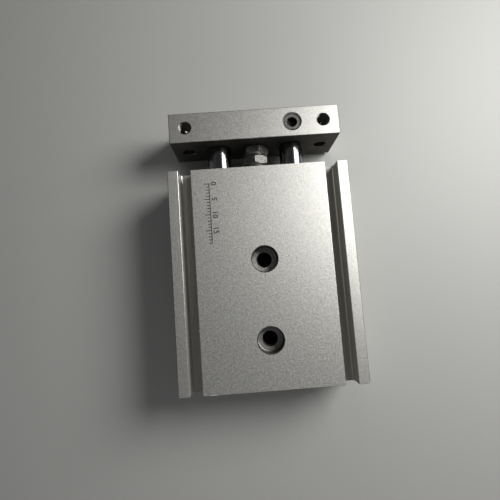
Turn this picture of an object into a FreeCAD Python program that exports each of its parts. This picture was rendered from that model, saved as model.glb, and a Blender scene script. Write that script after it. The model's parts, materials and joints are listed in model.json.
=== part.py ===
import FreeCAD, Part
import os
import re

import Sketcher
from FreeCAD import Placement, Rotation, Vector

# A guided pneumatic cylinder with two piston rods side by side and a tool plate across their ends.
# X runs across the body, Y along the rods towards the plate and Z up from the base.
# The origin lies at the foot of the body's front face, midway between the rods, with the rods retracted.

doc = FreeCAD.newDocument("TwinRodCylinder")

# Driving sizes, in millimetres and degrees.
SIZES = (
    ("stroke", "10", "travel of the tool plate"),
    ("boreDiameter", "16", "each of the two bores"),
    ("rodDiameter", "8", "each of the two piston rods"),
    ("rodPitch", "25", "from one rod's axis to the other's"),
    ("boreWall", "2", "metal above and below the bores"),
    ("sideWall", "8.5", "metal outside the bores"),
    ("slidingGap", "0.03", "all round a rod in its bush and seal"),
    ("pistonGap", "0.05", "all round a piston in its bore"),
    ("fitGap", "0.02", "all round a piece that is seated for good"),
    # sensor grooves and outer rails of the extruded body
    ("railWidth", "3.4", "outer rail beside a sensor groove"),
    ("grooveWidth", "4", "sensor groove"),
    ("grooveDepth", "5.3", "sensor groove"),
    ("grooveFillet", "0.8", "foot of the rail inside the groove"),
    ("cornerFillet", "0.8", "upright corners of the body"),
    # mounting holes on the body's centre line
    ("mountFront", "30", "first hole from the front face"),
    ("mountPitch", "25", "from the first hole to the second"),
    ("mountHole", "4.2", "core of the M5 thread"),
    ("mountCounterbore", "8", "counterbore at both ends of a hole"),
    ("mountCounterboreDepth", "4.6", "counterbore at both ends of a hole"),
    ("mouthChamfer", "0.3", "rim of a counterbore"),
    ("threadChamfer", "0.4", "entrance of a thread"),
    # air ports in the body's sides
    ("portHole", "4.2", "core of the M5 thread"),
    ("portDepth", "5.5", "threaded length"),
    ("airPassage", "3", "drilling that joins the ports and both bores"),
    ("plugLength", "5", "plug screwed into an unused port"),
    ("plugSocket", "2.5", "hexagon socket of the plug, across flats"),
    ("plugSocketDepth", "1.8", "hexagon socket of the plug"),
    # retaining rings at both ends of a bore
    ("ringRecess", "1.2", "from the end face to the ring"),
    ("ringThickness", "1", "retaining ring"),
    ("ringGrooveDepth", "0.4", "into the wall of the bore"),
    ("ringWidth", "1.4", "radial width of the ring"),
    ("ringOpening", "2.4", "gap between the ring's ends"),
    ("lugDiameter", "3", "eye at each end of the ring"),
    ("lugHole", "1.5", "hole in the eye"),
    ("lugInset", "1", "eye's middle inside the ring's middle line"),
    # rod gland, its bush and its seals
    ("glandLength", "31.8", "full-bore length of the gland"),
    ("glandNose", "4", "reduced end that leaves room for the air"),
    ("glandNoseDiameter", "12", "reduced end that leaves room for the air"),
    ("bushLength", "24", "bearing bush in the gland"),
    ("bushWall", "1", "bearing bush in the gland"),
    ("rodRelief", "0.3", "all round the rod between bush and seal"),
    ("rodSealLength", "3.6", "rod seal"),
    ("rodSealWall", "2.4", "rod seal"),
    ("lipNotchWidth", "1", "notch between the lips of the rod seal"),
    ("lipNotchDepth", "1.4", "notch between the lips of the rod seal"),
    ("ringSection", "1.9", "thickness of an O-ring"),
    ("ringSeat", "2.4", "width of an O-ring's groove"),
    ("ringSetback", "2", "from the gland's shoulder to its O-ring groove"),
    # end plug
    ("plugLand", "0.6", "land on each side of the plug's O-ring"),
    ("plugNose", "2.4", "reduced end that leaves room for the air"),
    ("plugNoseDiameter", "11", "reduced end that leaves room for the air"),
    ("plugDish", "8", "shallow dish in the plug's outer face"),
    ("plugDishDepth", "0.5", "shallow dish in the plug's outer face"),
    ("rearGap", "0.8", "from the retracted piston to the plug"),
    ("rearPortSetback", "0.75", "from the plug's front to the middle of the rear drilling"),
    # piston, its seal, magnet, nut and bumper
    ("pistonFrontLand", "1.3", "land ahead of the piston seal"),
    ("pistonMidLand", "1.2", "land between seal and magnet"),
    ("pistonTail", "3", "land behind the magnet"),
    ("pistonSealWidth", "3", "piston seal"),
    ("pistonSealWall", "1.8", "piston seal"),
    ("magnetWidth", "2.5", "sensor magnet"),
    ("magnetWall", "2", "sensor magnet"),
    ("magnetSink", "0.4", "magnet below the piston's surface"),
    ("spigotDiameter", "4", "rod's threaded end in the piston"),
    ("nutPocket", "10", "pocket for the piston nut"),
    ("nutPocketDepth", "2.7", "pocket for the piston nut"),
    ("pistonNutAcross", "7", "piston nut across flats"),
    ("pistonNutHeight", "2.2", "piston nut"),
    ("rodBumperLength", "2", "cushion ring ahead of the piston"),
    ("rodBumperWall", "2.6", "cushion ring ahead of the piston"),
    # tool plate
    ("plateInset", "1", "plate inside the body's outline, all round"),
    ("plateThickness", "9.8", "tool plate"),
    ("plateHoleEdge", "5.25", "tapped hole from the plate's end"),
    ("plateHole", "4.2", "core of the M5 threads"),
    ("rodSeat", "2", "depth of the left rod's seat in the plate"),
    ("rodSink", "0.5", "right rod's end below the plate's face"),
    ("rodChamfer", "0.5", "ends of the rods"),
    # screws that hold the plate
    ("screwDiameter", "5", "cap screw and bumper bolt"),
    ("capHeadDiameter", "8.5", "head of the cap screw"),
    ("capHeadHeight", "5", "head of the cap screw"),
    ("capHeadSink", "0.4", "head below the plate's face"),
    ("capHeadRoom", "0.25", "all round the head in its counterbore"),
    ("capScrewLength", "12", "cap screw under its head"),
    ("capSocket", "4", "hexagon socket of the cap screw, across flats"),
    ("capSocketDepth", "2.5", "hexagon socket of the cap screw"),
    ("tapExtra", "1", "rod's tapped hole beyond the screw"),
    ("setScrewDiameter", "6", "set screw on the right rod"),
    ("setScrewSink", "0.5", "set screw below the plate's top"),
    ("setSocket", "3", "hexagon socket of the set screw, across flats"),
    ("setSocketDepth", "2", "hexagon socket of the set screw"),
    ("rodFlatDepth", "0.5", "flat on the right rod"),
    ("rodFlatRoom", "0.2", "flat beyond the set screw's foot"),
    # bumper bolt with its nut and pad
    ("hexAcross", "8", "bolt head and lock nut across flats"),
    ("nutHeight", "3.2", "lock nut"),
    ("boltHeadHeight", "3.5", "head of the bumper bolt"),
    ("threadShown", "0.3", "thread between the nut and the head"),
    ("padLength", "2.7", "bumper pad ahead of the head"),
    ("padDiameter", "7.2", "bumper pad"),
    ("padStemDiameter", "3.2", "stem that holds the pad in the head"),
    ("padStemLength", "1.8", "stem that holds the pad in the head"),
    ("padChamfer", "0.4", "rim of the pad"),
    ("boltSink", "0.4", "bolt's end below the plate's face"),
    ("boltSocket", "2.5", "hexagon socket in the bolt's end, across flats"),
    ("boltSocketDepth", "2.4", "hexagon socket in the bolt's end"),
    ("hexBevel", "30", "angle of the bevels on nuts and heads"),
    ("nutTurn", "17", "lock nut about its axis, as tightened"),
    ("boltTurn", "-4", "bumper bolt about its axis, as tightened"),
)

# Worked out from the sizes. Places along the rods count from the body's front face, rearwards negative.
DERIVED = {
    "bodyWidth": "rodPitch + boreDiameter + 2 * sideWall",
    "bodyHeight": "boreDiameter + 2 * boreWall",
    "boreRadius": "boreDiameter / 2",
    "rodRadius": "rodDiameter / 2",
    "seatedRadius": "boreRadius - fitGap",
    "grooveOuter": "bodyWidth / 2 - railWidth",
    "grooveInner": "grooveOuter - grooveWidth",
    "midHeight": "bodyHeight / 2",
    # stack of pieces along a bore, front to rear
    "glandFront": "-(ringRecess + ringThickness)",
    "glandShoulder": "glandFront - glandLength",
    "glandEnd": "glandShoulder - glandNose",
    "pistonFront": "glandEnd - stroke - rodBumperLength",
    "sealFront": "pistonFront - pistonFrontLand",
    "sealRear": "sealFront - pistonSealWidth",
    "magnetFront": "sealRear - pistonMidLand",
    "magnetRear": "magnetFront - magnetWidth",
    "pistonRear": "magnetRear - pistonTail",
    "plugFront": "pistonRear - rearGap",
    "plugShoulder": "plugFront - plugNose",
    "plugRear": "plugShoulder - 2 * plugLand - ringSeat",
    "bodyRear": "plugRear - ringThickness - ringRecess",
    "frontPort": "(glandShoulder + glandEnd) / 2",
    "rearPort": "plugFront - rearPortSetback",
    # seats round the bore and the rod
    "oringFloor": "boreRadius - ringSection - 2 * fitGap",
    "oringRadius": "boreRadius - ringSection / 2 - fitGap",
    "rodSealRadius": "rodRadius + rodSealWall",
    "rodSealRear": "glandFront - rodSealLength",
    "bushRadius": "rodRadius + slidingGap + bushWall",
    "bushFront": "glandEnd + bushLength",
    "glandRingFront": "glandShoulder + ringSetback + ringSeat",
    "pistonRadius": "boreRadius - pistonGap",
    "pistonSealFloor": "pistonRadius - pistonSealWall",
    "magnetFloor": "pistonRadius - magnetSink - magnetWall",
    # plate and screws, ahead of the body
    "plateWidth": "bodyWidth - 2 * plateInset",
    "plateBack": "padLength + boltHeadHeight + threadShown + nutHeight",
    "plateFront": "plateBack + plateThickness",
    "plateMiddle": "(plateBack + plateFront) / 2",
    "plateTop": "bodyHeight - plateInset",
    "plateHoleX": "plateWidth / 2 - plateHoleEdge",
    "capSeat": "plateFront - capHeadSink - capHeadHeight",
    "screwRadius": "screwDiameter / 2",
    "screwHole": "screwDiameter + 2 * fitGap",
    "headBack": "padLength",
}

sheet = doc.addObject("Spreadsheet::Sheet", "Sizes")
for row, (alias, value, note) in enumerate(SIZES, start=1):
    sheet.set(f"A{row}", alias)
    sheet.set(f"B{row}", value)
    sheet.setAlias(f"B{row}", alias)
    sheet.set(f"C{row}", note)
doc.recompute()

ALIASES = {alias for alias, value, note in SIZES}


# Writes a formula over the sheet's cells in full, so that it can drive a property.
def bound(formula):
    def spell(match):
        word = match.group()
        if word in DERIVED:
            return "(" + bound(DERIVED[word]) + ")"
        return "Sizes." + word if word in ALIASES else word

    return re.sub(r"[A-Za-z]+", spell, formula)


def number(formula):
    return float(sheet.evalExpression(bound(formula)))


ALONG_Y = Rotation(Vector(1, 0, 0), -90)  # stands a piece's own Z axis along +Y


# A new sub-part. Its own origin lies at x, y, z and it is turned by the rotation.
def newBody(label, x="0", y="0", z="0", turn=Rotation()):
    body = doc.addObject("PartDesign::Body", label)
    body.Label = label
    body.Placement = Placement(Vector(), turn)
    for axis, formula in zip("xyz", (x, y, z)):
        body.setExpression("Placement.Base." + axis, bound(formula))
    return body


def attach(feature, body, plane, shift):
    support = [item for item in body.Origin.OriginFeatures if item.Role == plane]
    feature.AttachmentSupport = [(support[0], "")]
    feature.MapMode = "FlatFace"
    feature.setExpression("AttachmentOffset.Base.z", bound(shift))


def newSketch(body, plane, shift="0"):
    sketch = body.newObject("Sketcher::SketchObject", body.Label + "_sketch")
    attach(sketch, body, plane, shift)
    return sketch


# Ties one coordinate of a sketch point to a formula, measured from the sketch's origin.
def tie(sketch, direction, element, point, formula):
    if formula == "0":
        axis = -2 if direction == "X" else -1
        sketch.addConstraint(Sketcher.Constraint("PointOnObject", element, point, axis))
        return
    index = sketch.addConstraint(
        Sketcher.Constraint("Distance" + direction, -1, 1, element, point, number(formula))
    )
    sketch.setExpression(f"Constraints[{index}]", bound(formula))


# Draws a closed outline of straight lines through (x, y) corners given as formulas.
def drawOutline(sketch, corners):
    places = [Vector(number(x), number(y), 0) for x, y in corners]
    first = sketch.GeometryCount
    last = len(corners) - 1
    for place, following in zip(places, places[1:] + places[:1]):
        sketch.addGeometry(Part.LineSegment(place, following))
    for step in range(len(corners)):
        following = first + (step + 1 if step < last else 0)
        sketch.addConstraint(Sketcher.Constraint("Coincident", first + step, 2, following, 1))
    for step, (x, y) in enumerate(corners):
        before = corners[step - 1] if step else (None, None)
        if x == before[0]:
            sketch.addConstraint(Sketcher.Constraint("Vertical", first + step - 1))
        else:
            tie(sketch, "X", first + step, 1, x)
        if y == before[1]:
            sketch.addConstraint(Sketcher.Constraint("Horizontal", first + step - 1))
        else:
            tie(sketch, "Y", first + step, 1, y)


def drawCircle(sketch, x, y, diameter):
    centre = Vector(number(x), number(y), 0)
    circle = sketch.addGeometry(Part.Circle(centre, Vector(0, 0, 1), number(diameter) / 2))
    index = sketch.addConstraint(Sketcher.Constraint("Diameter", circle, number(diameter)))
    sketch.setExpression(f"Constraints[{index}]", bound(diameter))
    tie(sketch, "X", circle, 3, x)
    tie(sketch, "Y", circle, 3, y)


# Draws an axis for a revolved cut, parallel to the sketch's X or Y.
def drawAxis(sketch, direction, formula):
    place = number(formula)
    ends = (Vector(place, 0, 0), Vector(place, 1, 0))
    if direction == "X":
        ends = (Vector(0, place, 0), Vector(1, place, 0))
    line = sketch.addGeometry(Part.LineSegment(*ends), True)
    across = "Y" if direction == "X" else "X"
    lie = "Horizontal" if direction == "X" else "Vertical"
    sketch.addConstraint(Sketcher.Constraint(lie, line))
    tie(sketch, across, line, 1, formula)
    tie(sketch, direction, line, 1, "0")
    sketch.addConstraint(Sketcher.Constraint("Distance", line, 1))


def pad(body, sketch, length):
    feature = body.newObject("PartDesign::Pad", body.Label + "_pad")
    feature.Profile = sketch
    feature.setExpression("Length", bound(length))
    doc.recompute()
    return feature


def revolve(body, sketch):
    feature = body.newObject("PartDesign::Revolution", body.Label + "_revolution")
    feature.Profile = sketch
    feature.ReferenceAxis = (sketch, ["V_Axis"])
    feature.Angle = 360
    doc.recompute()
    return feature


# Computes a new cut, and stops if it took no metal away from the solid before it.
def cut(feature, before):
    doc.recompute()
    if not feature.Shape.Volume < before.Shape.Volume - 1e-3:
        raise RuntimeError(feature.Label + " cuts nothing")
    return feature


# Pockets a sketch along its normal, or against it, to a depth or right through.
def pocket(body, sketch, depth=None, alongNormal=False):
    before = body.Tip
    feature = body.newObject("PartDesign::Pocket", body.Label + "_pocket")
    feature.Profile = sketch
    feature.Reversed = alongNormal
    if depth is None:
        feature.Type = "ThroughAll"
    else:
        feature.setExpression("Length", bound(depth))
    return cut(feature, before)


def groove(body, sketch, axis="V_Axis"):
    before = body.Tip
    feature = body.newObject("PartDesign::Groove", body.Label + "_groove")
    feature.Profile = sketch
    feature.ReferenceAxis = (sketch, [axis])
    feature.Angle = 360
    return cut(feature, before)


# Repeats a cut once more along one of the body's own axes.
def repeat(body, original, role, length, towardsNegative):
    axis = [item for item in body.Origin.OriginFeatures if item.Role == role]
    feature = body.newObject("PartDesign::LinearPattern", body.Label + "_pattern")
    feature.Originals = [original]
    feature.Direction = (axis[0], [""])
    feature.Reversed = towardsNegative
    feature.Occurrences = 2
    feature.setExpression("Length", bound(length))
    body.Tip = feature
    return cut(feature, original)


# Rounds the edges whose middle point passes the test.
def fillet(body, radius, test):
    base = body.Tip
    edges = enumerate(base.Shape.Edges, start=1)
    chosen = [f"Edge{index}" for index, edge in edges if test(edge.BoundBox)]
    feature = body.newObject("PartDesign::Fillet", body.Label + "_fillet")
    feature.Base = (base, chosen)
    feature.setExpression("Radius", bound(radius))
    doc.recompute()
    return feature


# A six-sided prism along the body's own Z, added or cut away.
def hexagon(body, kind, across, start, height):
    before = body.Tip
    feature = body.newObject(f"PartDesign::{kind}Prism", body.Label + "_hexagon")
    feature.Polygon = 6
    attach(feature, body, "XY_Plane", start)
    feature.setExpression("Circumradius", bound(f"({across}) / 2 / cos(30)"))
    feature.setExpression("Height", bound(height))
    if kind == "Subtractive":
        return cut(feature, before)
    doc.recompute()
    return feature


# A turned piece: its half section, in (radius, along) corners, is swung round the body's own axis.
def turned(label, corners, x="0", y="0", z="0", turn=Rotation(), plane="XY_Plane"):
    body = newBody(label, x, y, z, turn)
    sketch = newSketch(body, plane)
    drawOutline(sketch, corners)
    revolve(body, sketch)
    return body


# Turns down the corners of a hexagon at both ends, to a bevel that starts at the flats.
def bevelHexagon(body, across, low, high):
    flat = f"{across} / 2"
    outside = f"{across} / 2 / cos(30) + 1"
    rise = f"({outside} - {flat}) * tan(hexBevel)"
    for edge, sign in ((low, "+"), (high, "-")):
        sketch = newSketch(body, "XZ_Plane")
        drawOutline(sketch, ((flat, edge), (outside, edge), (outside, f"{edge} {sign} {rise}")))
        groove(body, sketch)


# The extruded body with its sensor grooves, bores, mounting holes and air drillings.
def buildCylinderBody():
    body = newBody("cylinder_body")
    half, top = "bodyWidth / 2", "bodyHeight"
    floor = "bodyHeight - grooveDepth"
    upper = [("0", top), ("grooveInner", top), ("grooveInner", floor), ("grooveOuter", floor)]
    upper += [("grooveOuter", top), (half, top)]
    lower = [(x, {top: "0", floor: "grooveDepth"}[z]) for x, z in reversed(upper)]
    rightSide = upper + lower
    leftSide = [("0" if x == "0" else f"-({x})", z) for x, z in reversed(rightSide)][1:-1]
    section = newSketch(body, "XZ_Plane")
    drawOutline(section, rightSide + leftSide)
    pad(body, section, "-(bodyRear)")

    edge, deep = number("grooveOuter"), (number("grooveDepth"), number(floor))

    def atRailFoot(box):
        runsAlong = box.YLength > 1 and box.XLength + box.ZLength < 0.01
        return runsAlong and abs(abs(box.XMax) - edge) < 0.01 and min(abs(box.ZMax - z) for z in deep) < 0.01

    def atCorner(box):
        upright = box.ZLength > 1 and box.XLength + box.YLength < 0.01
        return upright and abs(abs(box.XMax) - number(half)) < 0.01

    fillet(body, "grooveFillet", atRailFoot)
    fillet(body, "cornerFillet", atCorner)

    # both bores, and a groove for a retaining ring near each end of them
    bores = newSketch(body, "XZ_Plane")
    for side in ("-", ""):
        drawCircle(bores, side + "rodPitch / 2", "midHeight", "boreDiameter")
    pocket(body, bores, alongNormal=True)
    for front in ("ringRecess", "-(plugRear)"):
        rings = newSketch(body, "XZ_Plane", front)
        for side in ("-", ""):
            drawCircle(rings, side + "rodPitch / 2", "midHeight", "boreDiameter + 2 * ringGrooveDepth")
        pocket(body, rings, "ringThickness", alongNormal=True)

    # one mounting hole, counterbored from above and below and threaded between, then its twin
    hole = newSketch(body, "YZ_Plane")
    axis, core, wide = "-mountFront", "mountHole / 2", "mountCounterbore / 2"
    above = [
        ("0", top),
        (f"{wide} + mouthChamfer", top),
        (wide, f"{top} - mouthChamfer"),
        (wide, f"{top} - mountCounterboreDepth"),
        (f"{core} + threadChamfer", f"{top} - mountCounterboreDepth"),
        (core, f"{top} - mountCounterboreDepth - threadChamfer"),
    ]
    below = [(r, "0" if z == top else z.replace(f"{top} -", "0 +", 1)) for r, z in reversed(above)]
    drawOutline(hole, [(axis if r == "0" else f"{axis} + {r}", z) for r, z in above + below])
    drawAxis(hole, "Y", axis)
    drilled = groove(body, hole, "Axis0")
    repeat(body, drilled, "Y_Axis", "mountPitch", towardsNegative=True)

    # one air drilling from side to side with a threaded port at each end, then its twin
    air = newSketch(body, "XY_Plane", "midHeight")
    core, passage, axis = "portHole / 2", "airPassage / 2", "frontPort"
    right = [
        (half, f"{axis} + {core} + threadChamfer"),
        (f"{half} - threadChamfer", f"{axis} + {core}"),
        (f"{half} - portDepth", f"{axis} + {core}"),
        (f"{half} - portDepth - {core} + {passage}", f"{axis} + {passage}"),
    ]
    left = [(f"-({x})", y) for x, y in reversed(right)]
    drawOutline(air, [(f"-({half})", axis), (half, axis)] + right + left)
    drawAxis(air, "X", axis)
    drilled = groove(body, air, "Axis0")
    repeat(body, drilled, "Y_Axis", "frontPort - rearPort", towardsNegative=True)
    return body


# An O-ring as it sits squeezed in its groove: eight flats round its section.
def buildOring(label, x, along):
    wide, narrow = "ringSection / 2", "ringSection / 2 * tan(22.5)"
    flats = (
        (f"+ {wide}", f"- {narrow}"),
        (f"+ {wide}", f"+ {narrow}"),
        (f"+ {narrow}", f"+ {wide}"),
        (f"- {narrow}", f"+ {wide}"),
        (f"- {wide}", f"+ {narrow}"),
        (f"- {wide}", f"- {narrow}"),
        (f"- {narrow}", f"- {wide}"),
        (f"+ {narrow}", f"- {wide}"),
    )
    corners = [(f"oringRadius {out}", f"{along} {forward}") for out, forward in flats]
    return turned(label, corners, x=x, z="midHeight")


# An internal retaining ring, open at the bottom between two eyes. Its own Z runs along the bore.
def buildRetainingRing(label, x, rear):
    body = newBody(label, x, rear, "midHeight", ALONG_Y)
    outer = "boreDiameter + 2 * ringGrooveDepth"
    eyeX = "(ringOpening + lugDiameter) / 2"
    eyeY = "boreRadius - ringWidth / 2 - lugInset"
    hoop = newSketch(body, "XY_Plane")
    drawCircle(hoop, "0", "0", outer)
    drawCircle(hoop, "0", "0", f"{outer} - 2 * ringWidth")
    pad(body, hoop, "ringThickness")
    for side in ("-", ""):
        eye = newSketch(body, "XY_Plane")
        drawCircle(eye, f"{side}({eyeX})", eyeY, "lugDiameter")
        pad(body, eye, "ringThickness")
        hole = newSketch(body, "XY_Plane")
        drawCircle(hole, f"{side}({eyeX})", eyeY, "lugHole")
        pocket(body, hole, alongNormal=True)
    opening = newSketch(body, "XY_Plane")
    left, right, inner, beyond = "-ringOpening / 2", "ringOpening / 2", "rodRadius", f"({outer}) / 2 + 1"
    drawOutline(opening, ((left, inner), (right, inner), (right, beyond), (left, beyond)))
    pocket(body, opening, alongNormal=True)
    return body


# The gland that closes a bore and guides its rod: seal at the front, bush and air nose at the rear.
def buildGland(label, x):
    slide = "rodRadius + rodRelief"
    nose = "glandNoseDiameter / 2"
    corners = (
        ("rodSealRadius", "glandFront"),
        ("seatedRadius", "glandFront"),
        ("seatedRadius", "glandRingFront"),
        ("oringFloor", "glandRingFront"),
        ("oringFloor", "glandRingFront - ringSeat"),
        ("seatedRadius", "glandRingFront - ringSeat"),
        ("seatedRadius", "glandShoulder"),
        (nose, "glandShoulder"),
        (nose, "glandEnd"),
        ("bushRadius + fitGap", "glandEnd"),
        ("bushRadius + fitGap", "bushFront"),
        (slide, "bushFront"),
        (slide, "rodSealRear"),
        ("rodSealRadius", "rodSealRear"),
    )
    return turned(label, corners, x=x, z="midHeight")


def buildRodBush(label, x):
    inner = "rodRadius + slidingGap"
    corners = (
        (inner, "bushFront"),
        ("bushRadius", "bushFront"),
        ("bushRadius", "glandEnd"),
        (inner, "glandEnd"),
    )
    return turned(label, corners, x=x, z="midHeight")


# A cup seal with two lips that open towards the air.
def buildRodSeal(label, x):
    inner, outer = "rodRadius + slidingGap", "rodSealRadius - fitGap"
    middle = "rodRadius + rodSealWall / 2"
    corners = (
        (inner, "glandFront"),
        (outer, "glandFront"),
        (outer, "rodSealRear"),
        (f"{middle} + lipNotchWidth / 2", "rodSealRear"),
        (middle, "rodSealRear + lipNotchDepth"),
        (f"{middle} - lipNotchWidth / 2", "rodSealRear"),
        (inner, "rodSealRear"),
    )
    return turned(label, corners, x=x, z="midHeight")


# The plug at the rear of a bore, with a dished face outwards and an air nose inwards.
def buildEndPlug(label, x):
    nose, dish = "plugNoseDiameter / 2", "plugDish / 2"
    corners = (
        ("0", "plugFront"),
        (nose, "plugFront"),
        (nose, "plugShoulder"),
        ("seatedRadius", "plugShoulder"),
        ("seatedRadius", "plugShoulder - plugLand"),
        ("oringFloor", "plugShoulder - plugLand"),
        ("oringFloor", "plugRear + plugLand"),
        ("seatedRadius", "plugRear + plugLand"),
        ("seatedRadius", "plugRear"),
        (dish, "plugRear"),
        (f"{dish} - plugDishDepth", "plugRear + plugDishDepth"),
        ("0", "plugRear + plugDishDepth"),
    )
    return turned(label, corners, x=x, z="midHeight")


# A flush screw that closes an unused port on the left side. Its own Z points outwards.
def buildPortPlug(label, along):
    outwards = Rotation(Vector(0, 1, 0), -90)
    body = newBody(label, "portDepth - bodyWidth / 2", along, "midHeight", outwards)
    sketch = newSketch(body, "XZ_Plane")
    core = "portHole / 2 - fitGap"
    corners = (("0", "0"), (core, "0"), (core, "plugLength"), ("0", "plugLength"))
    drawOutline(sketch, corners)
    revolve(body, sketch)
    hexagon(body, "Subtractive", "plugSocket", "plugLength - plugSocketDepth", "plugSocketDepth")
    return body


# The plate across both rod ends, with its rod seats, screw holes and tapped mounting holes.
def buildToolPlate():
    body = newBody("tool_plate")
    half, low, high = "plateWidth / 2", "plateInset", "plateTop"
    slab = newSketch(body, "XZ_Plane", "-(plateFront)")
    drawOutline(slab, ((f"-{half}", low), (half, low), (half, high), (f"-{half}", high)))
    pad(body, slab, "plateThickness")

    # left rod: seat from behind, clearance for the cap screw, counterbore for its head in front
    leftSection = newSketch(body, "XY_Plane", "midHeight")
    axis = "-rodPitch / 2"
    seat, hole, head = "rodRadius + fitGap", "screwHole / 2", "capHeadDiameter / 2 + capHeadRoom"
    steps = (
        ("0", "plateBack"),
        (seat, "plateBack"),
        (seat, "plateBack + rodSeat"),
        (hole, "plateBack + rodSeat"),
        (hole, "capSeat"),
        (head, "capSeat"),
        (head, "plateFront"),
        ("0", "plateFront"),
    )
    drawOutline(leftSection, [(axis if r == "0" else f"{axis} + {r}", y) for r, y in steps])
    drawAxis(leftSection, "Y", axis)
    groove(body, leftSection, "Axis0")

    # right rod right through, and the bumper bolt's hole between the rods
    through = newSketch(body, "XZ_Plane", "-(plateFront)")
    drawCircle(through, "rodPitch / 2", "midHeight", "rodDiameter + 2 * fitGap")
    drawCircle(through, "0", "midHeight", "screwHole")
    pocket(body, through, alongNormal=True)

    # set screw's hole from the top down to the right rod
    setHole = newSketch(body, "XY_Plane", "plateTop")
    drawCircle(setHole, "rodPitch / 2", "plateMiddle", "setScrewDiameter + 2 * fitGap")
    pocket(body, setHole, "plateTop - midHeight")

    # tapped holes near both ends, along Y and along Z, each with a chamfer at both mouths
    core, mouth = "plateHole / 2", "plateHole / 2 + threadChamfer"
    for plane, shift, low, high in (
        ("XY_Plane", "midHeight", "plateBack", "plateFront"),
        ("XZ_Plane", "-(plateMiddle)", "plateInset", "plateTop"),
    ):
        for axis in ("-plateHoleX", "plateHoleX"):
            tapped = newSketch(body, plane, shift)
            corners = (
                (axis, low),
                (f"{axis} + {mouth}", low),
                (f"{axis} + {core}", f"{low} + threadChamfer"),
                (f"{axis} + {core}", f"{high} - threadChamfer"),
                (f"{axis} + {mouth}", high),
                (axis, high),
            )
            drawOutline(tapped, corners)
            drawAxis(tapped, "Y", axis)
            groove(body, tapped, "Axis0")
    return body


# A piston rod: a long ground bar, stepped down behind to the spigot that holds the piston.
def rodCorners(front, bore):
    spigot = "spigotDiameter / 2"
    return [
        (bore, front),
        ("rodRadius - rodChamfer", front),
        ("rodRadius", f"{front} - rodChamfer"),
        ("rodRadius", "pistonFront"),
        (spigot, "pistonFront"),
        (spigot, "pistonRear + nutPocketDepth - pistonNutHeight"),
        ("0", "pistonRear + nutPocketDepth - pistonNutHeight"),
    ]


# The left rod is tapped at the front for the cap screw.
def buildLeftRod():
    front = "plateBack + rodSeat"
    bottom = "capSeat - capScrewLength - tapExtra"
    hole = [("0", bottom), ("screwHole / 2", bottom)]
    return turned("piston_rod_left", rodCorners(front, "screwHole / 2") + hole, "-rodPitch / 2", z="midHeight")


# The right rod has a flat on top where the set screw bears.
def buildRightRod():
    front = "plateFront - rodSink"
    body = turned("piston_rod_right", rodCorners(front, "0"), "rodPitch / 2", z="midHeight")
    flat = newSketch(body, "XY_Plane", "rodRadius")
    reach, wide = "(setScrewDiameter / 2 + rodFlatRoom)", "rodRadius"
    near, far = f"plateMiddle - {reach}", f"plateMiddle + {reach}"
    drawOutline(flat, ((f"-{wide}", near), (wide, near), (wide, far), (f"-{wide}", far)))
    pocket(body, flat, "rodFlatDepth")
    return body


# A piston with grooves for its seal and magnet and a pocket for the nut behind.
def buildPiston(label, x):
    spigot, nut = "spigotDiameter / 2 + fitGap", "nutPocket / 2"
    corners = (
        (spigot, "pistonFront"),
        ("pistonRadius", "pistonFront"),
        ("pistonRadius", "sealFront"),
        ("pistonSealFloor", "sealFront"),
        ("pistonSealFloor", "sealRear"),
        ("pistonRadius", "sealRear"),
        ("pistonRadius", "magnetFront"),
        ("magnetFloor", "magnetFront"),
        ("magnetFloor", "magnetRear"),
        ("pistonRadius", "magnetRear"),
        ("pistonRadius", "pistonRear"),
        (nut, "pistonRear"),
        (nut, "pistonRear + nutPocketDepth"),
        (spigot, "pistonRear + nutPocketDepth"),
    )
    return turned(label, corners, x=x, z="midHeight")


# A ring of plain section round a rod's axis.
def buildRing(label, x, inner, outer, front, rear):
    corners = ((inner, front), (outer, front), (outer, rear), (inner, rear))
    return turned(label, corners, x=x, z="midHeight")


# A hexagon nut along its own Z, bevelled at both ends.
def buildNut(label, x, y, across, height, hole, turn):
    body = newBody(label, x, y, "midHeight", turn)
    hexagon(body, "Additive", across, "0", height)
    threaded = newSketch(body, "XY_Plane")
    drawCircle(threaded, "0", "0", hole)
    pocket(body, threaded, alongNormal=True)
    bevelHexagon(body, across, "0", height)
    return body


# The cap screw that pulls the left rod into its seat. Its own Z runs forwards, from under the head.
def buildCapScrew():
    body = newBody("rod_cap_screw", "-rodPitch / 2", "capSeat", "midHeight", ALONG_Y)
    sketch = newSketch(body, "XZ_Plane")
    shank, head = "screwRadius", "capHeadDiameter / 2"
    corners = (
        ("0", "-capScrewLength"),
        (f"{shank} - rodChamfer", "-capScrewLength"),
        (shank, "rodChamfer - capScrewLength"),
        (shank, "0"),
        (head, "0"),
        (head, "capHeadHeight - rodChamfer"),
        (f"{head} - rodChamfer", "capHeadHeight"),
        ("0", "capHeadHeight"),
    )
    drawOutline(sketch, corners)
    revolve(body, sketch)
    hexagon(body, "Subtractive", "capSocket", "capHeadHeight - capSocketDepth", "capSocketDepth")
    return body


# The set screw that bears on the right rod's flat. Its own Z points up.
def buildSetScrew():
    foot = "midHeight + rodRadius - rodFlatDepth + fitGap"
    length = f"plateTop - setScrewSink - ({foot})"
    body = newBody("rod_set_screw", "rodPitch / 2", "plateMiddle", foot)
    sketch = newSketch(body, "XZ_Plane")
    radius = "setScrewDiameter / 2"
    corners = (
        ("0", "0"),
        (f"{radius} - rodChamfer", "0"),
        (radius, "rodChamfer"),
        (radius, f"{length} - rodChamfer"),
        (f"{radius} - rodChamfer", length),
        ("0", length),
    )
    drawOutline(sketch, corners)
    revolve(body, sketch)
    hexagon(body, "Subtractive", "setSocket", f"{length} - setSocketDepth", "setSocketDepth")
    return body


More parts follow.
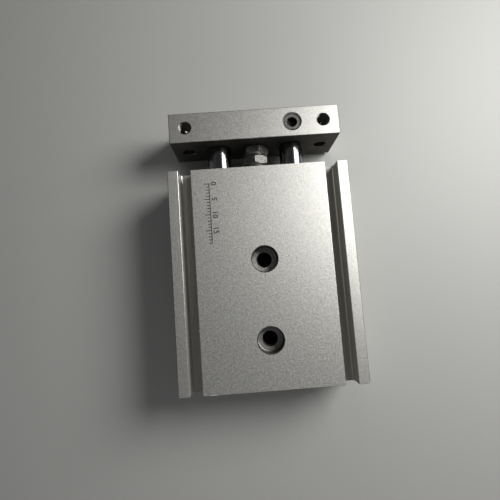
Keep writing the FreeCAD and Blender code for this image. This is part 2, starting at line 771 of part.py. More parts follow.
# The bumper bolt: hexagon head towards the body, shank through nut and plate, socket in its end.
def buildBumperBolt():
    spin = Rotation(Vector(0, 1, 0), number("boltTurn")) * ALONG_Y * Rotation(Vector(0, 0, 1), 90)
    body = newBody("bumper_bolt", "0", "headBack", "midHeight", spin)
    hexagon(body, "Additive", "hexAcross", "0", "boltHeadHeight")
    bevelHexagon(body, "hexAcross", "0", "boltHeadHeight")
    shank = newSketch(body, "XY_Plane")
    drawCircle(shank, "0", "0", "screwDiameter")
    end = "plateFront - boltSink - headBack"
    pad(body, shank, end)
    stem = newSketch(body, "XY_Plane")
    drawCircle(stem, "0", "0", "padStemDiameter + 2 * fitGap")
    pocket(body, stem, "padStemLength + fitGap", alongNormal=True)
    hexagon(body, "Subtractive", "boltSocket", f"{end} - boltSocketDepth", "boltSocketDepth")
    return body


# The pad that meets the body's front face when the rods are retracted, with its stem in the head.
def buildBumperPad():
    stem, rim = "padStemDiameter / 2", "padDiameter / 2"
    corners = (
        ("0", "0"),
        (f"{rim} - padChamfer", "0"),
        (rim, "padChamfer"),
        (rim, "headBack"),
        (stem, "headBack"),
        (stem, "headBack + padStemLength"),
        ("0", "headBack + padStemLength"),
    )
    return turned("bumper_pad", corners, z="midHeight")


parts = [buildCylinderBody()]

for side, x in (("left", "-rodPitch / 2"), ("right", "rodPitch / 2")):
    parts += [
        buildGland(f"gland_{side}", x),
        buildRodBush(f"rod_bush_{side}", x),
        buildRodSeal(f"rod_seal_{side}", x),
        buildOring(f"gland_oring_{side}", x, "glandRingFront - ringSeat / 2"),
        buildRetainingRing(f"front_retaining_ring_{side}", x, "glandFront"),
        buildEndPlug(f"end_plug_{side}", x),
        buildOring(f"end_plug_oring_{side}", x, "plugRear + plugLand + ringSeat / 2"),
        buildRetainingRing(f"rear_retaining_ring_{side}", x, "plugRear - ringThickness"),
        buildPiston(f"piston_{side}", x),
        buildRing(
            f"piston_seal_{side}", x, "pistonSealFloor + fitGap", "boreRadius - fitGap",
            "sealFront - fitGap", "sealRear + fitGap",
        ),
        buildRing(
            f"piston_magnet_{side}", x, "magnetFloor + fitGap", "pistonRadius - magnetSink",
            "magnetFront - fitGap", "magnetRear + fitGap",
        ),
        buildRing(
            f"piston_bumper_{side}", x, "rodRadius + fitGap", "rodRadius + rodBumperWall",
            "pistonFront + rodBumperLength", "pistonFront",
        ),
        buildNut(
            f"piston_nut_{side}", x, "pistonRear + nutPocketDepth - pistonNutHeight", "pistonNutAcross",
            "pistonNutHeight", "spigotDiameter + 2 * fitGap", ALONG_Y,
        ),
    ]

parts += [
    buildPortPlug("port_plug_front", "frontPort"),
    buildPortPlug("port_plug_rear", "rearPort"),
    buildToolPlate(),
    buildLeftRod(),
    buildRightRod(),
    buildCapScrew(),
    buildSetScrew(),
    buildNut(
        "bumper_nut", "0", "plateBack - nutHeight", "hexAcross", "nutHeight", "screwHole",
        Rotation(Vector(0, 1, 0), number("nutTurn")) * ALONG_Y * Rotation(Vector(0, 0, 1), 90),
    ),
    buildBumperBolt(),
    buildBumperPad(),
]

doc.recompute()

for item in doc.Objects:
    if "Invalid" in item.State or "Error" in item.State:
        raise RuntimeError(f"{item.Label} failed: {item.State}")
for part in parts:
    if part.Shape.isNull() or not part.Shape.isValid() or len(part.Shape.Solids) != 1:
        raise RuntimeError(f"{part.Label} is not one valid solid")

os.makedirs("parts", exist_ok=True)
for part in parts:
    part.Shape.exportStep(f"parts/{part.Label}.step")
    box = part.Shape.BoundBox
    print(f"{part.Label:28s} {part.Shape.Volume:9.1f} mm3   X {box.XMin:7.2f} {box.XMax:7.2f}"
          f"   Y {box.YMin:7.2f} {box.YMax:7.2f}   Z {box.ZMin:6.2f} {box.ZMax:6.2f}")
print(len(parts), "sub-parts written")
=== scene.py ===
import json
import math
import bmesh
import bpy
from mathutils import Matrix, Vector


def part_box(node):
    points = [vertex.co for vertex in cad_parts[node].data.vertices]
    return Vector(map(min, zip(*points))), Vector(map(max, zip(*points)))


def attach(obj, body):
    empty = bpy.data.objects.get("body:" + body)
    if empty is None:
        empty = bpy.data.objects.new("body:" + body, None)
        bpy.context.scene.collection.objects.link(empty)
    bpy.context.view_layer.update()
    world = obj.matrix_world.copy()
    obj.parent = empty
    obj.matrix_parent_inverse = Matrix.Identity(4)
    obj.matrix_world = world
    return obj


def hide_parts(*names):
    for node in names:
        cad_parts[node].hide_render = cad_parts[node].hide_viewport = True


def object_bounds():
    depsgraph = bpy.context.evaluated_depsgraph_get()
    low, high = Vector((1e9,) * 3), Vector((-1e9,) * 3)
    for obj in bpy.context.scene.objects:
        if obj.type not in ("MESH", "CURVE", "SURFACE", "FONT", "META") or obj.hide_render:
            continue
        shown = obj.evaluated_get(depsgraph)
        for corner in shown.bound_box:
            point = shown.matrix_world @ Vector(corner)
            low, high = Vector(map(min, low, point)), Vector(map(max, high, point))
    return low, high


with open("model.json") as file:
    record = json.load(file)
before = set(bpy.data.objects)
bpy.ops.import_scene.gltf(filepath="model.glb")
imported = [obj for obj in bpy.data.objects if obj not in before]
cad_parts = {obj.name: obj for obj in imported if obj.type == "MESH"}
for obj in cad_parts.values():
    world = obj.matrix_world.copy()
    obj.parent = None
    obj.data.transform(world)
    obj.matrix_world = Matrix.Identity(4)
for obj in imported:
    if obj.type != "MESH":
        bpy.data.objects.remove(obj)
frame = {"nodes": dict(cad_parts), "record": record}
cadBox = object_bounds()
mm = 0.001  # shapes below are drawn in millimetres and scaled when they become objects
weldReach = 0.0005  # corners nearer to each other than this, in millimetres, are one corner
mounts = {mount["name"]: mount for mount in frame["record"]["mounts"]}
print("stage: frame loaded,", len(frame["nodes"]), "nodes")


# lowest and highest corner of a CAD node, in millimetres
def span(node):
    low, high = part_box(node)
    return low / mm, high / mm


def middleOf(node):
    low, high = span(node)
    return (low + high) / 2


# of a turned piece that lies along Y or Z
def radiusOf(node):
    low, high = span(node)
    return (high.x - low.x) / 2


cameraPlace = {
    "left": 6.83,  # of the middle between the rods
    "behindFront": 38.9,  # of the body's front face
    "aboveTop": 113.85,
    "look": (0.02108723, 0.10452332, -0.99429885),
    "upward": (0.07087009, 0.99186194, 0.10577017),
    "lens": 26.385,
    "sensor": 36,
    "nearClip": 5,
    "farClip": 20000,
}


def setCamera():
    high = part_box("cylinder_body")[1]
    look = Vector(cameraPlace["look"]).normalized()
    right = look.cross(Vector(cameraPlace["upward"])).normalized()
    upward = right.cross(look)
    place = Vector((-cameraPlace["left"] * mm, high.y - cameraPlace["behindFront"] * mm,
                    high.z + cameraPlace["aboveTop"] * mm))
    lens = bpy.data.cameras.new("frontCamera")
    lens.lens = cameraPlace["lens"]
    lens.sensor_width = cameraPlace["sensor"]
    lens.clip_start = cameraPlace["nearClip"] * mm
    lens.clip_end = cameraPlace["farClip"] * mm
    camera = bpy.data.objects.new("frontCamera", lens)
    bpy.context.scene.collection.objects.link(camera)
    camera.matrix_world = Matrix.Translation(place) @ Matrix((right, upward, -look)).transposed().to_4x4()
    bpy.context.scene.camera = camera


# place is in millimetres from the middle of the body's top
lampSet = {
    "keySoftbox": {"place": (190, 110, 175), "size": 170, "power": 1.02, "colour": (1.0, 0.995, 0.965)},
    "rearFill": {"place": (-30, -420, 110), "size": 260, "power": 0.28, "colour": (1.0, 1.0, 1.0)},
}
skyColours = {"overhead": (0.075, 0.075, 0.077), "horizon": (0.22, 0.22, 0.223), "strength": 1.0}
floorLook = {"colour": (0.37, 0.37, 0.362), "roughness": 0.6, "reach": 3000, "gap": 0.02}


def setLamps():
    low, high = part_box("cylinder_body")
    middle = Vector(((low.x + high.x) / 2, (low.y + high.y) / 2, high.z))
    for name, lamp in lampSet.items():
        light = bpy.data.lights.new(name, "AREA")
        light.shape = "DISK"
        light.size = lamp["size"] * mm
        light.energy = lamp["power"]
        light.color = lamp["colour"]
        holder = bpy.data.objects.new(name, light)
        bpy.context.scene.collection.objects.link(holder)
        holder.location = middle + Vector(lamp["place"]) * mm
        holder.rotation_euler = (middle - holder.location).to_track_quat("-Z", "Y").to_euler()


def setSky():
    world = bpy.data.worlds.new("paleRoom")
    world.use_nodes = True
    nodes, links = world.node_tree.nodes, world.node_tree.links
    coordinates = nodes.new("ShaderNodeTexCoord")
    split = nodes.new("ShaderNodeSeparateXYZ")
    blend = nodes.new("ShaderNodeMix")
    blend.data_type = "RGBA"
    blend.inputs["A"].default_value = (*skyColours["horizon"], 1)
    blend.inputs["B"].default_value = (*skyColours["overhead"], 1)
    links.new(coordinates.outputs["Generated"], split.inputs[0])
    links.new(split.outputs["Z"], blend.inputs["Factor"])
    links.new(blend.outputs["Result"], nodes["Background"].inputs["Color"])
    nodes["Background"].inputs["Strength"].default_value = skyColours["strength"]
    bpy.context.scene.world = world
    bpy.context.scene.view_settings.view_transform = "Standard"


def addNode(tree, kind, sockets=None, **settings):
    made = tree.nodes.new("ShaderNode" + kind)
    for key, value in settings.items():
        setattr(made, key, value)
    for key, value in (sockets or {}).items():
        made.inputs[key].default_value = value
    return made


# object coordinates in millimetres, stretched and shifted
def placeTexture(tree, shift, stretch=(1, 1, 1)):
    coordinates = addNode(tree, "TexCoord")
    mapping = addNode(tree, "Mapping", {"Scale": [s / mm for s in stretch], "Location": shift})
    tree.links.new(coordinates.outputs["Object"], mapping.inputs["Vector"])
    return mapping.outputs["Vector"]


noiseCrispness = 0.55


def noiseLayer(tree, size, detail, stretch=(1, 1, 1), shift=(0, 0, 0)):
    noise = addNode(tree, "TexNoise", {"Scale": 1 / size, "Detail": detail, "Roughness": noiseCrispness})
    tree.links.new(placeTexture(tree, shift, stretch), noise.inputs["Vector"])
    return noise.outputs["Fac"]


ringScale = 0.31416  # the wave texture's scale for one ring to the millimetre


# tool marks that run round an axis through the given point
def ringLayer(tree, pitch, axis, centre, waver):
    wave = addNode(tree, "TexWave", {"Scale": ringScale / pitch, "Distortion": waver, "Detail": 1,
                                     "Detail Scale": 2}, wave_type="RINGS", rings_direction=axis)
    tree.links.new(placeTexture(tree, [-c for c in centre]), wave.inputs["Vector"])
    return wave.outputs["Fac"]


def remap(tree, value, fromLow, fromHigh, toLow, toHigh):
    ranged = addNode(tree, "MapRange", {"From Min": fromLow, "From Max": fromHigh,
                                        "To Min": toLow, "To Max": toHigh})
    tree.links.new(value, ranged.inputs["Value"])
    return ranged.outputs["Result"]


def blendColours(tree, factor, first, second):
    mixer = addNode(tree, "Mix", data_type="RGBA")
    tree.links.new(factor, mixer.inputs["Factor"])
    for socket, colour in (("A", first), ("B", second)):
        if isinstance(colour, tuple):
            mixer.inputs[socket].default_value = (*colour, 1)
        else:
            tree.links.new(colour, mixer.inputs[socket])
    return mixer.outputs["Result"]


def addBump(tree, value, height, before):
    bump = addNode(tree, "Bump", {"Strength": 1.0, "Distance": height * mm})
    tree.links.new(value, bump.inputs["Height"])
    if before:
        tree.links.new(before, bump.inputs["Normal"])
    return bump.outputs["Normal"]


# what a finish has unless its own entry says otherwise: sizes in millimetres, spreads as shares
plainLook = {
    "metal": 1, "specks": None, "relief": (),
    "cloudSize": 9, "cloudStretch": (1, 1, 1), "cloudSpread": (0.35, 0.65),
    "patchSize": 2.5, "patchSpread": (0.3, 0.7), "patchShift": (9, 2, 4),
    "speckBlur": 0.05, "speckShift": (3, 5, 7),
}
plainLayer = {"stretch": (1, 1, 1), "detail": 2, "waver": 0.6}


# A finish is a pair of tones mixed by clouds, dark or light specks, a spread of roughness
# and layers of relief.
def makeFinish(name, ownLook):
    look = {**plainLook, **ownLook}
    material = bpy.data.materials.new(name)
    material.use_nodes = True
    tree = material.node_tree
    shader = tree.nodes["Principled BSDF"]
    shader.inputs["Metallic"].default_value = look["metal"]
    if "gloss" in look:
        shader.inputs["Specular IOR Level"].default_value = look["gloss"]
    clouds = noiseLayer(tree, look["cloudSize"], 4, look["cloudStretch"])
    share = remap(tree, clouds, *look["cloudSpread"], 0, 1)
    colour = blendColours(tree, share, look["tone"], look["otherTone"])
    specks = look["specks"]
    if specks:
        spots = noiseLayer(tree, specks["size"], 2, shift=look["speckShift"])
        share = remap(tree, spots, specks["edge"], specks["edge"] + look["speckBlur"], 0, specks["share"])
        colour = blendColours(tree, share, colour, specks["tone"])
    tree.links.new(colour, shader.inputs["Base Color"])
    patches = noiseLayer(tree, look["patchSize"], 3, look["cloudStretch"], look["patchShift"])
    roughness = remap(tree, patches, *look["patchSpread"], *look["roughness"])
    tree.links.new(roughness, shader.inputs["Roughness"])
    normal = None
    for ownLayer in look["relief"]:
        layer = {**plainLayer, **ownLayer}
        if "pitch" in layer:
            value = ringLayer(tree, layer["pitch"], layer["axis"], layer["centre"], layer["waver"])
        else:
            value = noiseLayer(tree, layer["size"], layer["detail"], layer["stretch"])
        normal = addBump(tree, value, layer["height"], normal)
    if normal:
        tree.links.new(normal, shader.inputs["Normal"])
    return material


blasted = [{"size": 0.34, "height": 0.02}, {"size": 0.9, "height": 0.01}]
alongY = (1, 0.02, 1)
finishLooks = {
    "blastedAluminium": {
        "tone": (0.70, 0.695, 0.67), "otherTone": (0.56, 0.555, 0.53), "roughness": (0.44, 0.56),
        "cloudSize": 0.42, "patchSize": 0.6,
        "specks": {"size": 0.35, "edge": 0.60, "share": 0.5, "tone": (0.30, 0.295, 0.28)},
        "relief": blasted,
    },
    # the sensor grooves' floor and walls: a drawn finish, with a darker tone that is painted shade in the
    # grooves
    "drawnShadedAluminium": {
        "tone": (0.44, 0.435, 0.40), "otherTone": (0.37, 0.365, 0.33), "metal": 0.6,
        "roughness": (0.30, 0.38),
        "cloudSize": 0.8, "cloudStretch": alongY, "patchSize": 0.5,
        "relief": [{"size": 0.25, "stretch": alongY, "height": 0.004}, {"size": 0.3, "height": 0.002}],
    },
    "grooveWallShadedAluminium": {
        "tone": (0.38, 0.375, 0.35), "otherTone": (0.31, 0.305, 0.28), "metal": 0.3,
        "roughness": (0.46, 0.54),
        "cloudSize": 0.8, "cloudStretch": alongY, "patchSize": 0.5,
        "relief": [{"size": 0.25, "stretch": alongY, "height": 0.006}, {"size": 0.4, "height": 0.01}],
    },
    "sawnAluminium": {
        "tone": (0.60, 0.595, 0.58), "otherTone": (0.54, 0.54, 0.525), "roughness": (0.32, 0.42),
        "cloudSize": 0.8,
        "relief": [{"size": 0.5, "height": 0.006},
                   {"pitch": 0.35, "axis": "Y", "centre": (18, 0, -46), "height": 0.006, "waver": 0.4}],
    },
    "milledAluminium": {
        "tone": (0.62, 0.612, 0.59), "otherTone": (0.50, 0.493, 0.475), "roughness": (0.42, 0.52),
        "cloudSize": 0.42, "patchSize": 0.6,
        "specks": {"size": 0.35, "edge": 0.60, "share": 0.5, "tone": (0.28, 0.275, 0.26)},
        "relief": blasted,
    },
    # machined faces inside holes: a cut finish whose darker tone is painted shade in the holes
    "cutShadedAluminium": {
        "tone": (0.34, 0.335, 0.315), "otherTone": (0.20, 0.197, 0.185), "roughness": (0.26, 0.40),
        "cloudSize": 0.7,
        "relief": [{"size": 0.25, "height": 0.008}],
    },
    "boredAluminium": {
        "tone": (0.60, 0.59, 0.565), "otherTone": (0.44, 0.433, 0.41), "roughness": (0.44, 0.56),
        "cloudSize": 0.6,
        "relief": [{"size": 0.25, "height": 0.008}],
    },
    # painted shade: a near-black tone for the mounting holes' walls, rims and threads, where shade falls
    # inside the holes
    "holeShadeAluminium": {
        "tone": (0.050, 0.048, 0.044), "otherTone": (0.030, 0.029, 0.026), "metal": 0, "gloss": 0.15,
        "roughness": (0.46, 0.60), "cloudSize": 0.6,
        "relief": [{"size": 0.25, "height": 0.006}],
    },
    # painted shade: a dark tone for the outermost edges of body and plate, drawn as dark outlines, and for
    # the plate's rear face, which stands in shade
    "paintedShadeAluminium": {
        "tone": (0.15, 0.146, 0.136), "otherTone": (0.10, 0.097, 0.09), "roughness": (0.60, 0.75),
        "cloudSize": 0.6,
        "relief": [{"size": 0.3, "height": 0.008}],
    },
    # tapped threads: a cut finish whose darker tone is painted shade inside the holes
    "tappedAluminium": {
        "tone": (0.34, 0.335, 0.32), "otherTone": (0.22, 0.217, 0.207), "roughness": (0.30, 0.44),
        "cloudSize": 0.6,
        "relief": [{"size": 0.2, "height": 0.006}],
    },
    "wornAluminium": {
        "tone": (0.72, 0.72, 0.70), "otherTone": (0.50, 0.495, 0.48), "roughness": (0.34, 0.50),
        "cloudSize": 0.9,
        "relief": [{"size": 0.2, "height": 0.012}],
    },
    "boreAluminium": {
        "tone": (0.60, 0.60, 0.60), "otherTone": (0.52, 0.52, 0.52), "roughness": (0.12, 0.24),
        "relief": [{"size": 0.2, "stretch": (1, 4, 1), "height": 0.004}],
    },
    "chromedRod": {
        "tone": (0.22, 0.223, 0.226), "otherTone": (0.18, 0.183, 0.186), "roughness": (0.13, 0.19),
        "cloudSize": 1.5,
        "relief": [{"size": 0.05, "stretch": (0.05, 1, 0.05), "height": 0.0012}],
    },
    "blackSteel": {
        "tone": (0.028, 0.029, 0.031), "otherTone": (0.060, 0.062, 0.060), "roughness": (0.40, 0.58),
        "cloudSize": 0.8,
        "specks": {"size": 0.25, "edge": 0.60, "share": 0.5, "tone": (0.14, 0.145, 0.14)},
        "relief": [{"size": 0.15, "height": 0.008}],
    },
    "greySteel": {
        "tone": (0.20, 0.195, 0.19), "otherTone": (0.11, 0.107, 0.104), "roughness": (0.48, 0.60),
        "cloudSize": 0.6,
        "specks": {"size": 0.30, "edge": 0.54, "share": 0.7, "tone": (0.04, 0.038, 0.035)},
        "relief": [{"size": 0.30, "height": 0.03}, {"size": 0.1, "height": 0.004}],
    },
    "wornSteel": {
        "tone": (0.42, 0.415, 0.40), "otherTone": (0.26, 0.255, 0.245), "roughness": (0.36, 0.50),
        "cloudSize": 0.5,
        "relief": [{"size": 0.25, "height": 0.012}],
    },
    "springSteel": {
        "tone": (0.11, 0.11, 0.115), "otherTone": (0.18, 0.18, 0.18), "roughness": (0.30, 0.46),
        "cloudSize": 2,
        "relief": [{"size": 0.1, "height": 0.006}],
    },
    "bushBronze": {
        "tone": (0.52, 0.36, 0.19), "otherTone": (0.42, 0.28, 0.14), "roughness": (0.24, 0.40),
        "cloudSize": 2,
        "relief": [{"size": 0.15, "height": 0.006}],
    },
    "darkRubber": {
        "tone": (0.022, 0.022, 0.023), "otherTone": (0.04, 0.04, 0.04), "metal": 0,
        "roughness": (0.45, 0.65),
        "relief": [{"size": 0.12, "height": 0.01}],
    },
    "bumperUrethane": {
        "tone": (0.035, 0.033, 0.032), "otherTone": (0.06, 0.057, 0.054), "metal": 0,
        "roughness": (0.35, 0.5),
        "relief": [{"size": 0.2, "height": 0.01}],
    },
    "ferriteMagnet": {
        "tone": (0.08, 0.08, 0.085), "otherTone": (0.12, 0.12, 0.12), "metal": 0.4, "roughness": (0.4, 0.6),
        "relief": [{"size": 0.2, "height": 0.01}],
    },
    "printInk": {
        "tone": (0.02, 0.02, 0.022), "otherTone": (0.06, 0.06, 0.062), "metal": 0, "roughness": (0.6, 0.7),
        "cloudSize": 0.5, "relief": [{"size": 0.12, "height": 0.002}],
    },
}
# turned pieces carry fine rings round the axis of their own bore
for side in ("left", "right"):
    finishLooks["turnedAluminium" + side.capitalize()] = {
        "tone": (0.62, 0.62, 0.61), "otherTone": (0.54, 0.54, 0.535), "roughness": (0.22, 0.34),
        "relief": [{"pitch": 0.14, "axis": "Y", "centre": tuple(middleOf("piston_" + side)), "height": 0.006},
                   {"size": 0.3, "height": 0.004}],
    }
finishes = {name: makeFinish(name, look) for name, look in finishLooks.items()}
print("stage: finishes made,", len(finishes))


axisTurn = {
    "x": Matrix.Rotation(math.radians(90), 4, "Y"),
    "y": Matrix.Rotation(math.radians(-90), 4, "X"),
    "z": Matrix.Identity(4),
}


# turns what is made along Z onto the named axis, through centre
def ontoAxis(axis, centre):
    place = Vector(centre)
    place["xyz".index(axis)] = 0
    return Matrix.Translation(place) @ axisTurn[axis]


def meshFrom(form, name, finish):
    bmesh.ops.recalc_face_normals(form, faces=form.faces)
    mesh = bpy.data.meshes.new(name)
    form.to_mesh(mesh)
    form.free()
    mesh.materials.append(finishes[finish])
    piece = bpy.data.objects.new(name, mesh)
    bpy.context.scene.collection.objects.link(piece)
    return piece


sharpRadius = 0.001  # an outline corner this small stays sharp
roundFrom = 0.5  # corners with at least this radius get twice the steps


def arcSteps(radius, steps):
    return steps if radius < roundFrom else 2 * steps


# Corners are (x, y, radius); each is replaced by an arc that touches both its sides.
def roundOutline(corners, steps=3):
    points = []
    for index, (x, y, radius) in enumerate(corners):
        corner = Vector((x, y))
        before = (Vector(corners[index - 1][:2]) - corner).normalized()
        after = (Vector(corners[(index + 1) % len(corners)][:2]) - corner).normalized()
        half = before.angle(after) / 2
        centre = corner + (before + after).normalized() * radius / math.sin(half)
        start = (corner + before * radius / math.tan(half) - centre).normalized()
        end = (corner + after * radius / math.tan(half) - centre).normalized()
        turns = arcSteps(radius, steps)
        for step in range(turns + 1):
            points.append(centre + start.slerp(end, step / turns).normalized() * radius)
    return points


# prism between two heights along Y or Z; its outline is in X and the other one
def prism(outline, bottom, top, axis, rim, name, finish):
    form = bmesh.new()
    place = {"y": lambda a, b, along: (a, along, b), "z": lambda a, b, along: (a, b, along)}[axis]
    rings = [[form.verts.new(place(p[0], p[1], along)) for p in outline] for along in (bottom, top)]
    caps = [form.faces.new(ring) for ring in rings]
    count = len(outline)
    for index in range(count):
        following = (index + 1) % count
        form.faces.new((rings[0][index], rings[0][following], rings[1][following], rings[1][index]))
    bmesh.ops.recalc_face_normals(form, faces=form.faces)
    if rim:
        edges = list({edge for cap in caps for edge in cap.edges})
        bmesh.ops.bevel(form, geom=edges, offset=rim, segments=2, profile=0.5, affect="EDGES",
                        clamp_overlap=False)
    return meshFrom(form, name, finish)


# profile is (radius, along), turned about the axis through centre; radius 0 closes on the axis
def lathe(profile, axis, centre, name, finish, segments=72, ring=False):
    form = bmesh.new()
    circles = []
    for radius, along in profile:
        if radius == 0:
            circles.append([form.verts.new((0, 0, along))])
            continue
        angles = [2 * math.pi * step / segments for step in range(segments)]
        circles.append([form.verts.new((radius * math.cos(a), radius * math.sin(a), along)) for a in angles])
    pairs = list(zip(circles, circles[1:]))
    if ring:
        pairs.append((circles[-1], circles[0]))
    for first, second in pairs:
        for step in range(segments):
            following = (step + 1) % segments
            corners = [first[step % len(first)], first[following % len(first)],
                       second[following % len(second)], second[step % len(second)]]
            corners = list(dict.fromkeys(corners))
            if len(corners) > 2:
                form.faces.new(corners)
    bmesh.ops.transform(form, matrix=ontoAxis(axis, centre), verts=form.verts)
    return meshFrom(form, name, finish)


# rounds the corners of a lathe profile that starts and ends on the axis
def softProfile(points, radius, steps=2):
    arc = arcSteps(radius, steps) + 1
    turned = points[1:-1]
    profile = points[:2]
    for before, corner, after in zip(turned, turned[1:], turned[2:]):
        rounded = roundOutline([(*before, sharpRadius), (*corner, radius), (*after, sharpRadius)], steps)
        profile += [tuple(point) for point in rounded[steps + 1:steps + 1 + arc]]
    return profile + points[-2:]


threadShape = {"rootEnd": 0.22, "crestStart": 0.55, "crestEnd": 0.67}  # shares of the pitch
threadCut = {"inside": 0.3, "endGap": 0.05}  # its cutter starts inside the hole and stops before the ends


# a screw: helical lines at the corners of the thread, cut square at both ends
def screw(core, major, pitch, bottom, top, axis, centre, name, finish, segments=40):
    form = bmesh.new()
    shares = [0, threadShape["rootEnd"], threadShape["crestStart"], threadShape["crestEnd"]]
    radii = [core, core, major, major]
    knots = list(zip(shares + [1], radii + [core]))
    perTurn = len(shares)

    def radiusAt(share):
        for (start, inner), (end, outer) in zip(knots, knots[1:]):
            if share <= end:
                return inner + (outer - inner) * (share - start) / (end - start)
        return core

    made = {}

    def corner(column, line):
        if column == segments:
            return corner(0, line + perTurn)
        turn, part = divmod(line, perTurn)
        along = bottom + pitch * (turn + shares[part] + column / segments)
        clipped = min(max(along, bottom), top)
        key = (column, round(clipped, 5))
        if key not in made:
            share = ((clipped - bottom) / pitch - column / segments) % 1
            radius = radii[part] if clipped == along else radiusAt(share)
            angle = 2 * math.pi * column / segments
            made[key] = form.verts.new((radius * math.cos(angle), radius * math.sin(angle), clipped))
        return made[key]

    lines = perTurn * math.ceil((top - bottom) / pitch + 1)
    for column in range(segments):
        for line in range(-2 * perTurn, lines + 1):
            around = (corner(column, line), corner(column + 1, line), corner(column + 1, line + 1),
                      corner(column, line + 1))
            around = list(dict.fromkeys(around))
            if len(around) > 2 and not form.faces.get(around):
                form.faces.new(around)
    for height in (bottom, top):
        middle = form.verts.new((0, 0, height))
        rim = [made[(column, round(height, 5))] for column in range(segments)]
        for step in range(segments):
            form.faces.new((rim[step], rim[(step + 1) % segments], middle))
    bmesh.ops.transform(form, matrix=ontoAxis(axis, centre), verts=form.verts)
    return meshFrom(form, name, finish)


def hexagon(across, bottom, top, axis, centre, turn, name, finish, soft=0):
    corners = []
    for side in range(6):
        angle = math.radians(60 * side + turn)
        reach = across / 2 / math.cos(math.radians(30))
        corners.append((reach * math.cos(angle), reach * math.sin(angle), soft))
    outline = roundOutline(corners, 2) if soft else [Vector(c[:2]) for c in corners]
    piece = prism(outline, bottom, top, "z", 0, name, finish)
    piece.data.transform(ontoAxis(axis, centre))
    return piece


# takes cutters from a piece, or keeps only what both share; the cutters' finishes come along
def carve(piece, cutters, operation="DIFFERENCE"):
    for cutter in cutters:
        step = piece.modifiers.new(cutter.name, "BOOLEAN")
        step.object = cutter
        step.operation = operation
        step.solver = "MANIFOLD"
        step.material_mode = "TRANSFER"
        carved = piece.evaluated_get(bpy.context.evaluated_depsgraph_get())
        piece.data = bpy.data.meshes.new_from_object(carved)
        piece.modifiers.clear()
        bpy.data.objects.remove(cutter)
    return piece


# a normal's share along an axis, for faces that lie square to it, face it or hardly do
flatFace = 0.999
mostlyFacing = 0.6
hardlyFacing = 0.1


# sets each face's finish from a rule that gets its middle, normal and finish, and may answer None
def repaint(piece, rule):
    for face in piece.data.polygons:
        answer = rule(face.center, face.normal, piece.data.materials[face.material_index].name)
        if answer:
            if answer not in piece.data.materials:
                piece.data.materials.append(finishes[answer])
            face.material_index = piece.data.materials.find(answer)


sharpFrom = 35  # degrees between two faces; below it the shading runs on


def finishPiece(piece, body, replaced=()):
    mesh = piece.data
    form = bmesh.new()
    form.from_mesh(mesh)
    bmesh.ops.remove_doubles(form, verts=form.verts, dist=weldReach)
    bmesh.ops.dissolve_degenerate(form, dist=weldReach, edges=form.edges)
    bmesh.ops.recalc_face_normals(form, faces=form.faces)
    form.to_mesh(mesh)
    form.free()
    mesh.transform(Matrix.Scale(mm, 4))
    mesh.shade_smooth()
    mesh.set_sharp_from_angle(angle=math.radians(sharpFrom))
    normals = piece.modifiers.new("evenShading", "WEIGHTED_NORMAL")
    normals.keep_sharp = True
    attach(piece, body)
    if replaced:
        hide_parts(*replaced)


# a CAD node's facets come apart at its edges; this joins them
def joinFacets(node):
    weld = node.modifiers.new("joinFacets", "WELD")
    weld.merge_threshold = weldReach * mm


# The mouth of a hole's cutter, from outside the face to where the hole has its own radius. It flares
# towards the face; inward is 1 where the hole runs up the axis from there, and -1 where it runs down.
def holeMouth(radius, flare, face, inward, depth=None):
    depth = flare if depth is None else depth
    return [(0, face - inward), (radius + flare + 1, face - inward), (radius + flare, face),
            (radius, face + inward * depth)]


def throughHole(radius, flare, bottom, top, depth=None):
    return holeMouth(radius, flare, bottom, 1, depth) + holeMouth(radius, flare, top, -1, depth)[::-1]


bodyShape = {
    "railWidth": 3.4, "grooveWidth": 4.0, "grooveDepth": 5.3, "grooveFillet": 0.8, "cornerFillet": 0.8,
    "edge": 0.16, "rim": 0.1,
    "bore": 16.0, "boreMouth": 0.3, "ringGroove": 16.8,
    "counterbore": 8.0, "counterboreDepth": 4.6, "counterboreRim": 0.3, "counterboreCorner": 0.3,
    "core": 4.2, "major": 5.0, "pitch": 0.8, "leadIn": 0.4, "threadRelief": 0.8,
    "portDepth": 5.5, "portThreadGap": 0.3, "passage": 3.0,
}


def mountingHoleCutters():
    shape, top = bodyShape, span("cylinder_body")[1].z
    radius, core, rim = shape["counterbore"] / 2, shape["core"] / 2, shape["counterboreRim"]
    floor, lead = shape["counterboreDepth"], shape["leadIn"]
    corner, relief = shape["counterboreCorner"], shape["threadRelief"]
    half = holeMouth(radius, rim, 0, 1) + [
        (radius, floor - corner), (radius - corner, floor), (core + lead, floor),
        (core + lead, floor + relief), (core, floor + relief + lead)]
    profile = half + [(r, top - along) for r, along in reversed(half)]
    mount = mounts["body_holes_top"]
    middle = Vector(mount["pos_m"]) / mm
    gap = threadCut["endGap"]
    cutters = []
    for side in (-0.5, 0.5):
        centre = middle + Vector((0, side * mount["dims"]["spacing_y_mm"], 0))
        cutters.append(lathe(profile, "z", centre, "holeCutter", "boredAluminium"))
        # the mounting holes' threads take the near-black painted shade
        cutters.append(screw(core - threadCut["inside"], shape["major"] / 2, shape["pitch"], floor + gap,
                             top - floor - gap, "z", centre, "threadCutter", "holeShadeAluminium"))
    return cutters


def portCutters():
    shape, outer = bodyShape, span("cylinder_body")[1].x
    core, passage, depth = shape["core"] / 2, shape["passage"] / 2, shape["portDepth"]
    half = holeMouth(core, shape["leadIn"], -outer, 1) + [
        (core, -outer + depth), (passage, -outer + depth + core - passage)]
    profile = half + [(r, -along) for r, along in reversed(half)]
    cutters = []
    for name in ("front_air_port", "rear_air_port"):
        centre = Vector(mounts[name]["pos_m"]) / mm
        cutters.append(lathe(profile, "x", centre, "portCutter", "cutShadedAluminium"))
        for bottom in (-outer, outer - depth):
            cutters.append(screw(core - threadCut["inside"], shape["major"] / 2, shape["pitch"],
                                 bottom + threadCut["endGap"], bottom + depth - shape["portThreadGap"],
                                 "x", centre, "threadCutter", "tappedAluminium"))
    return cutters


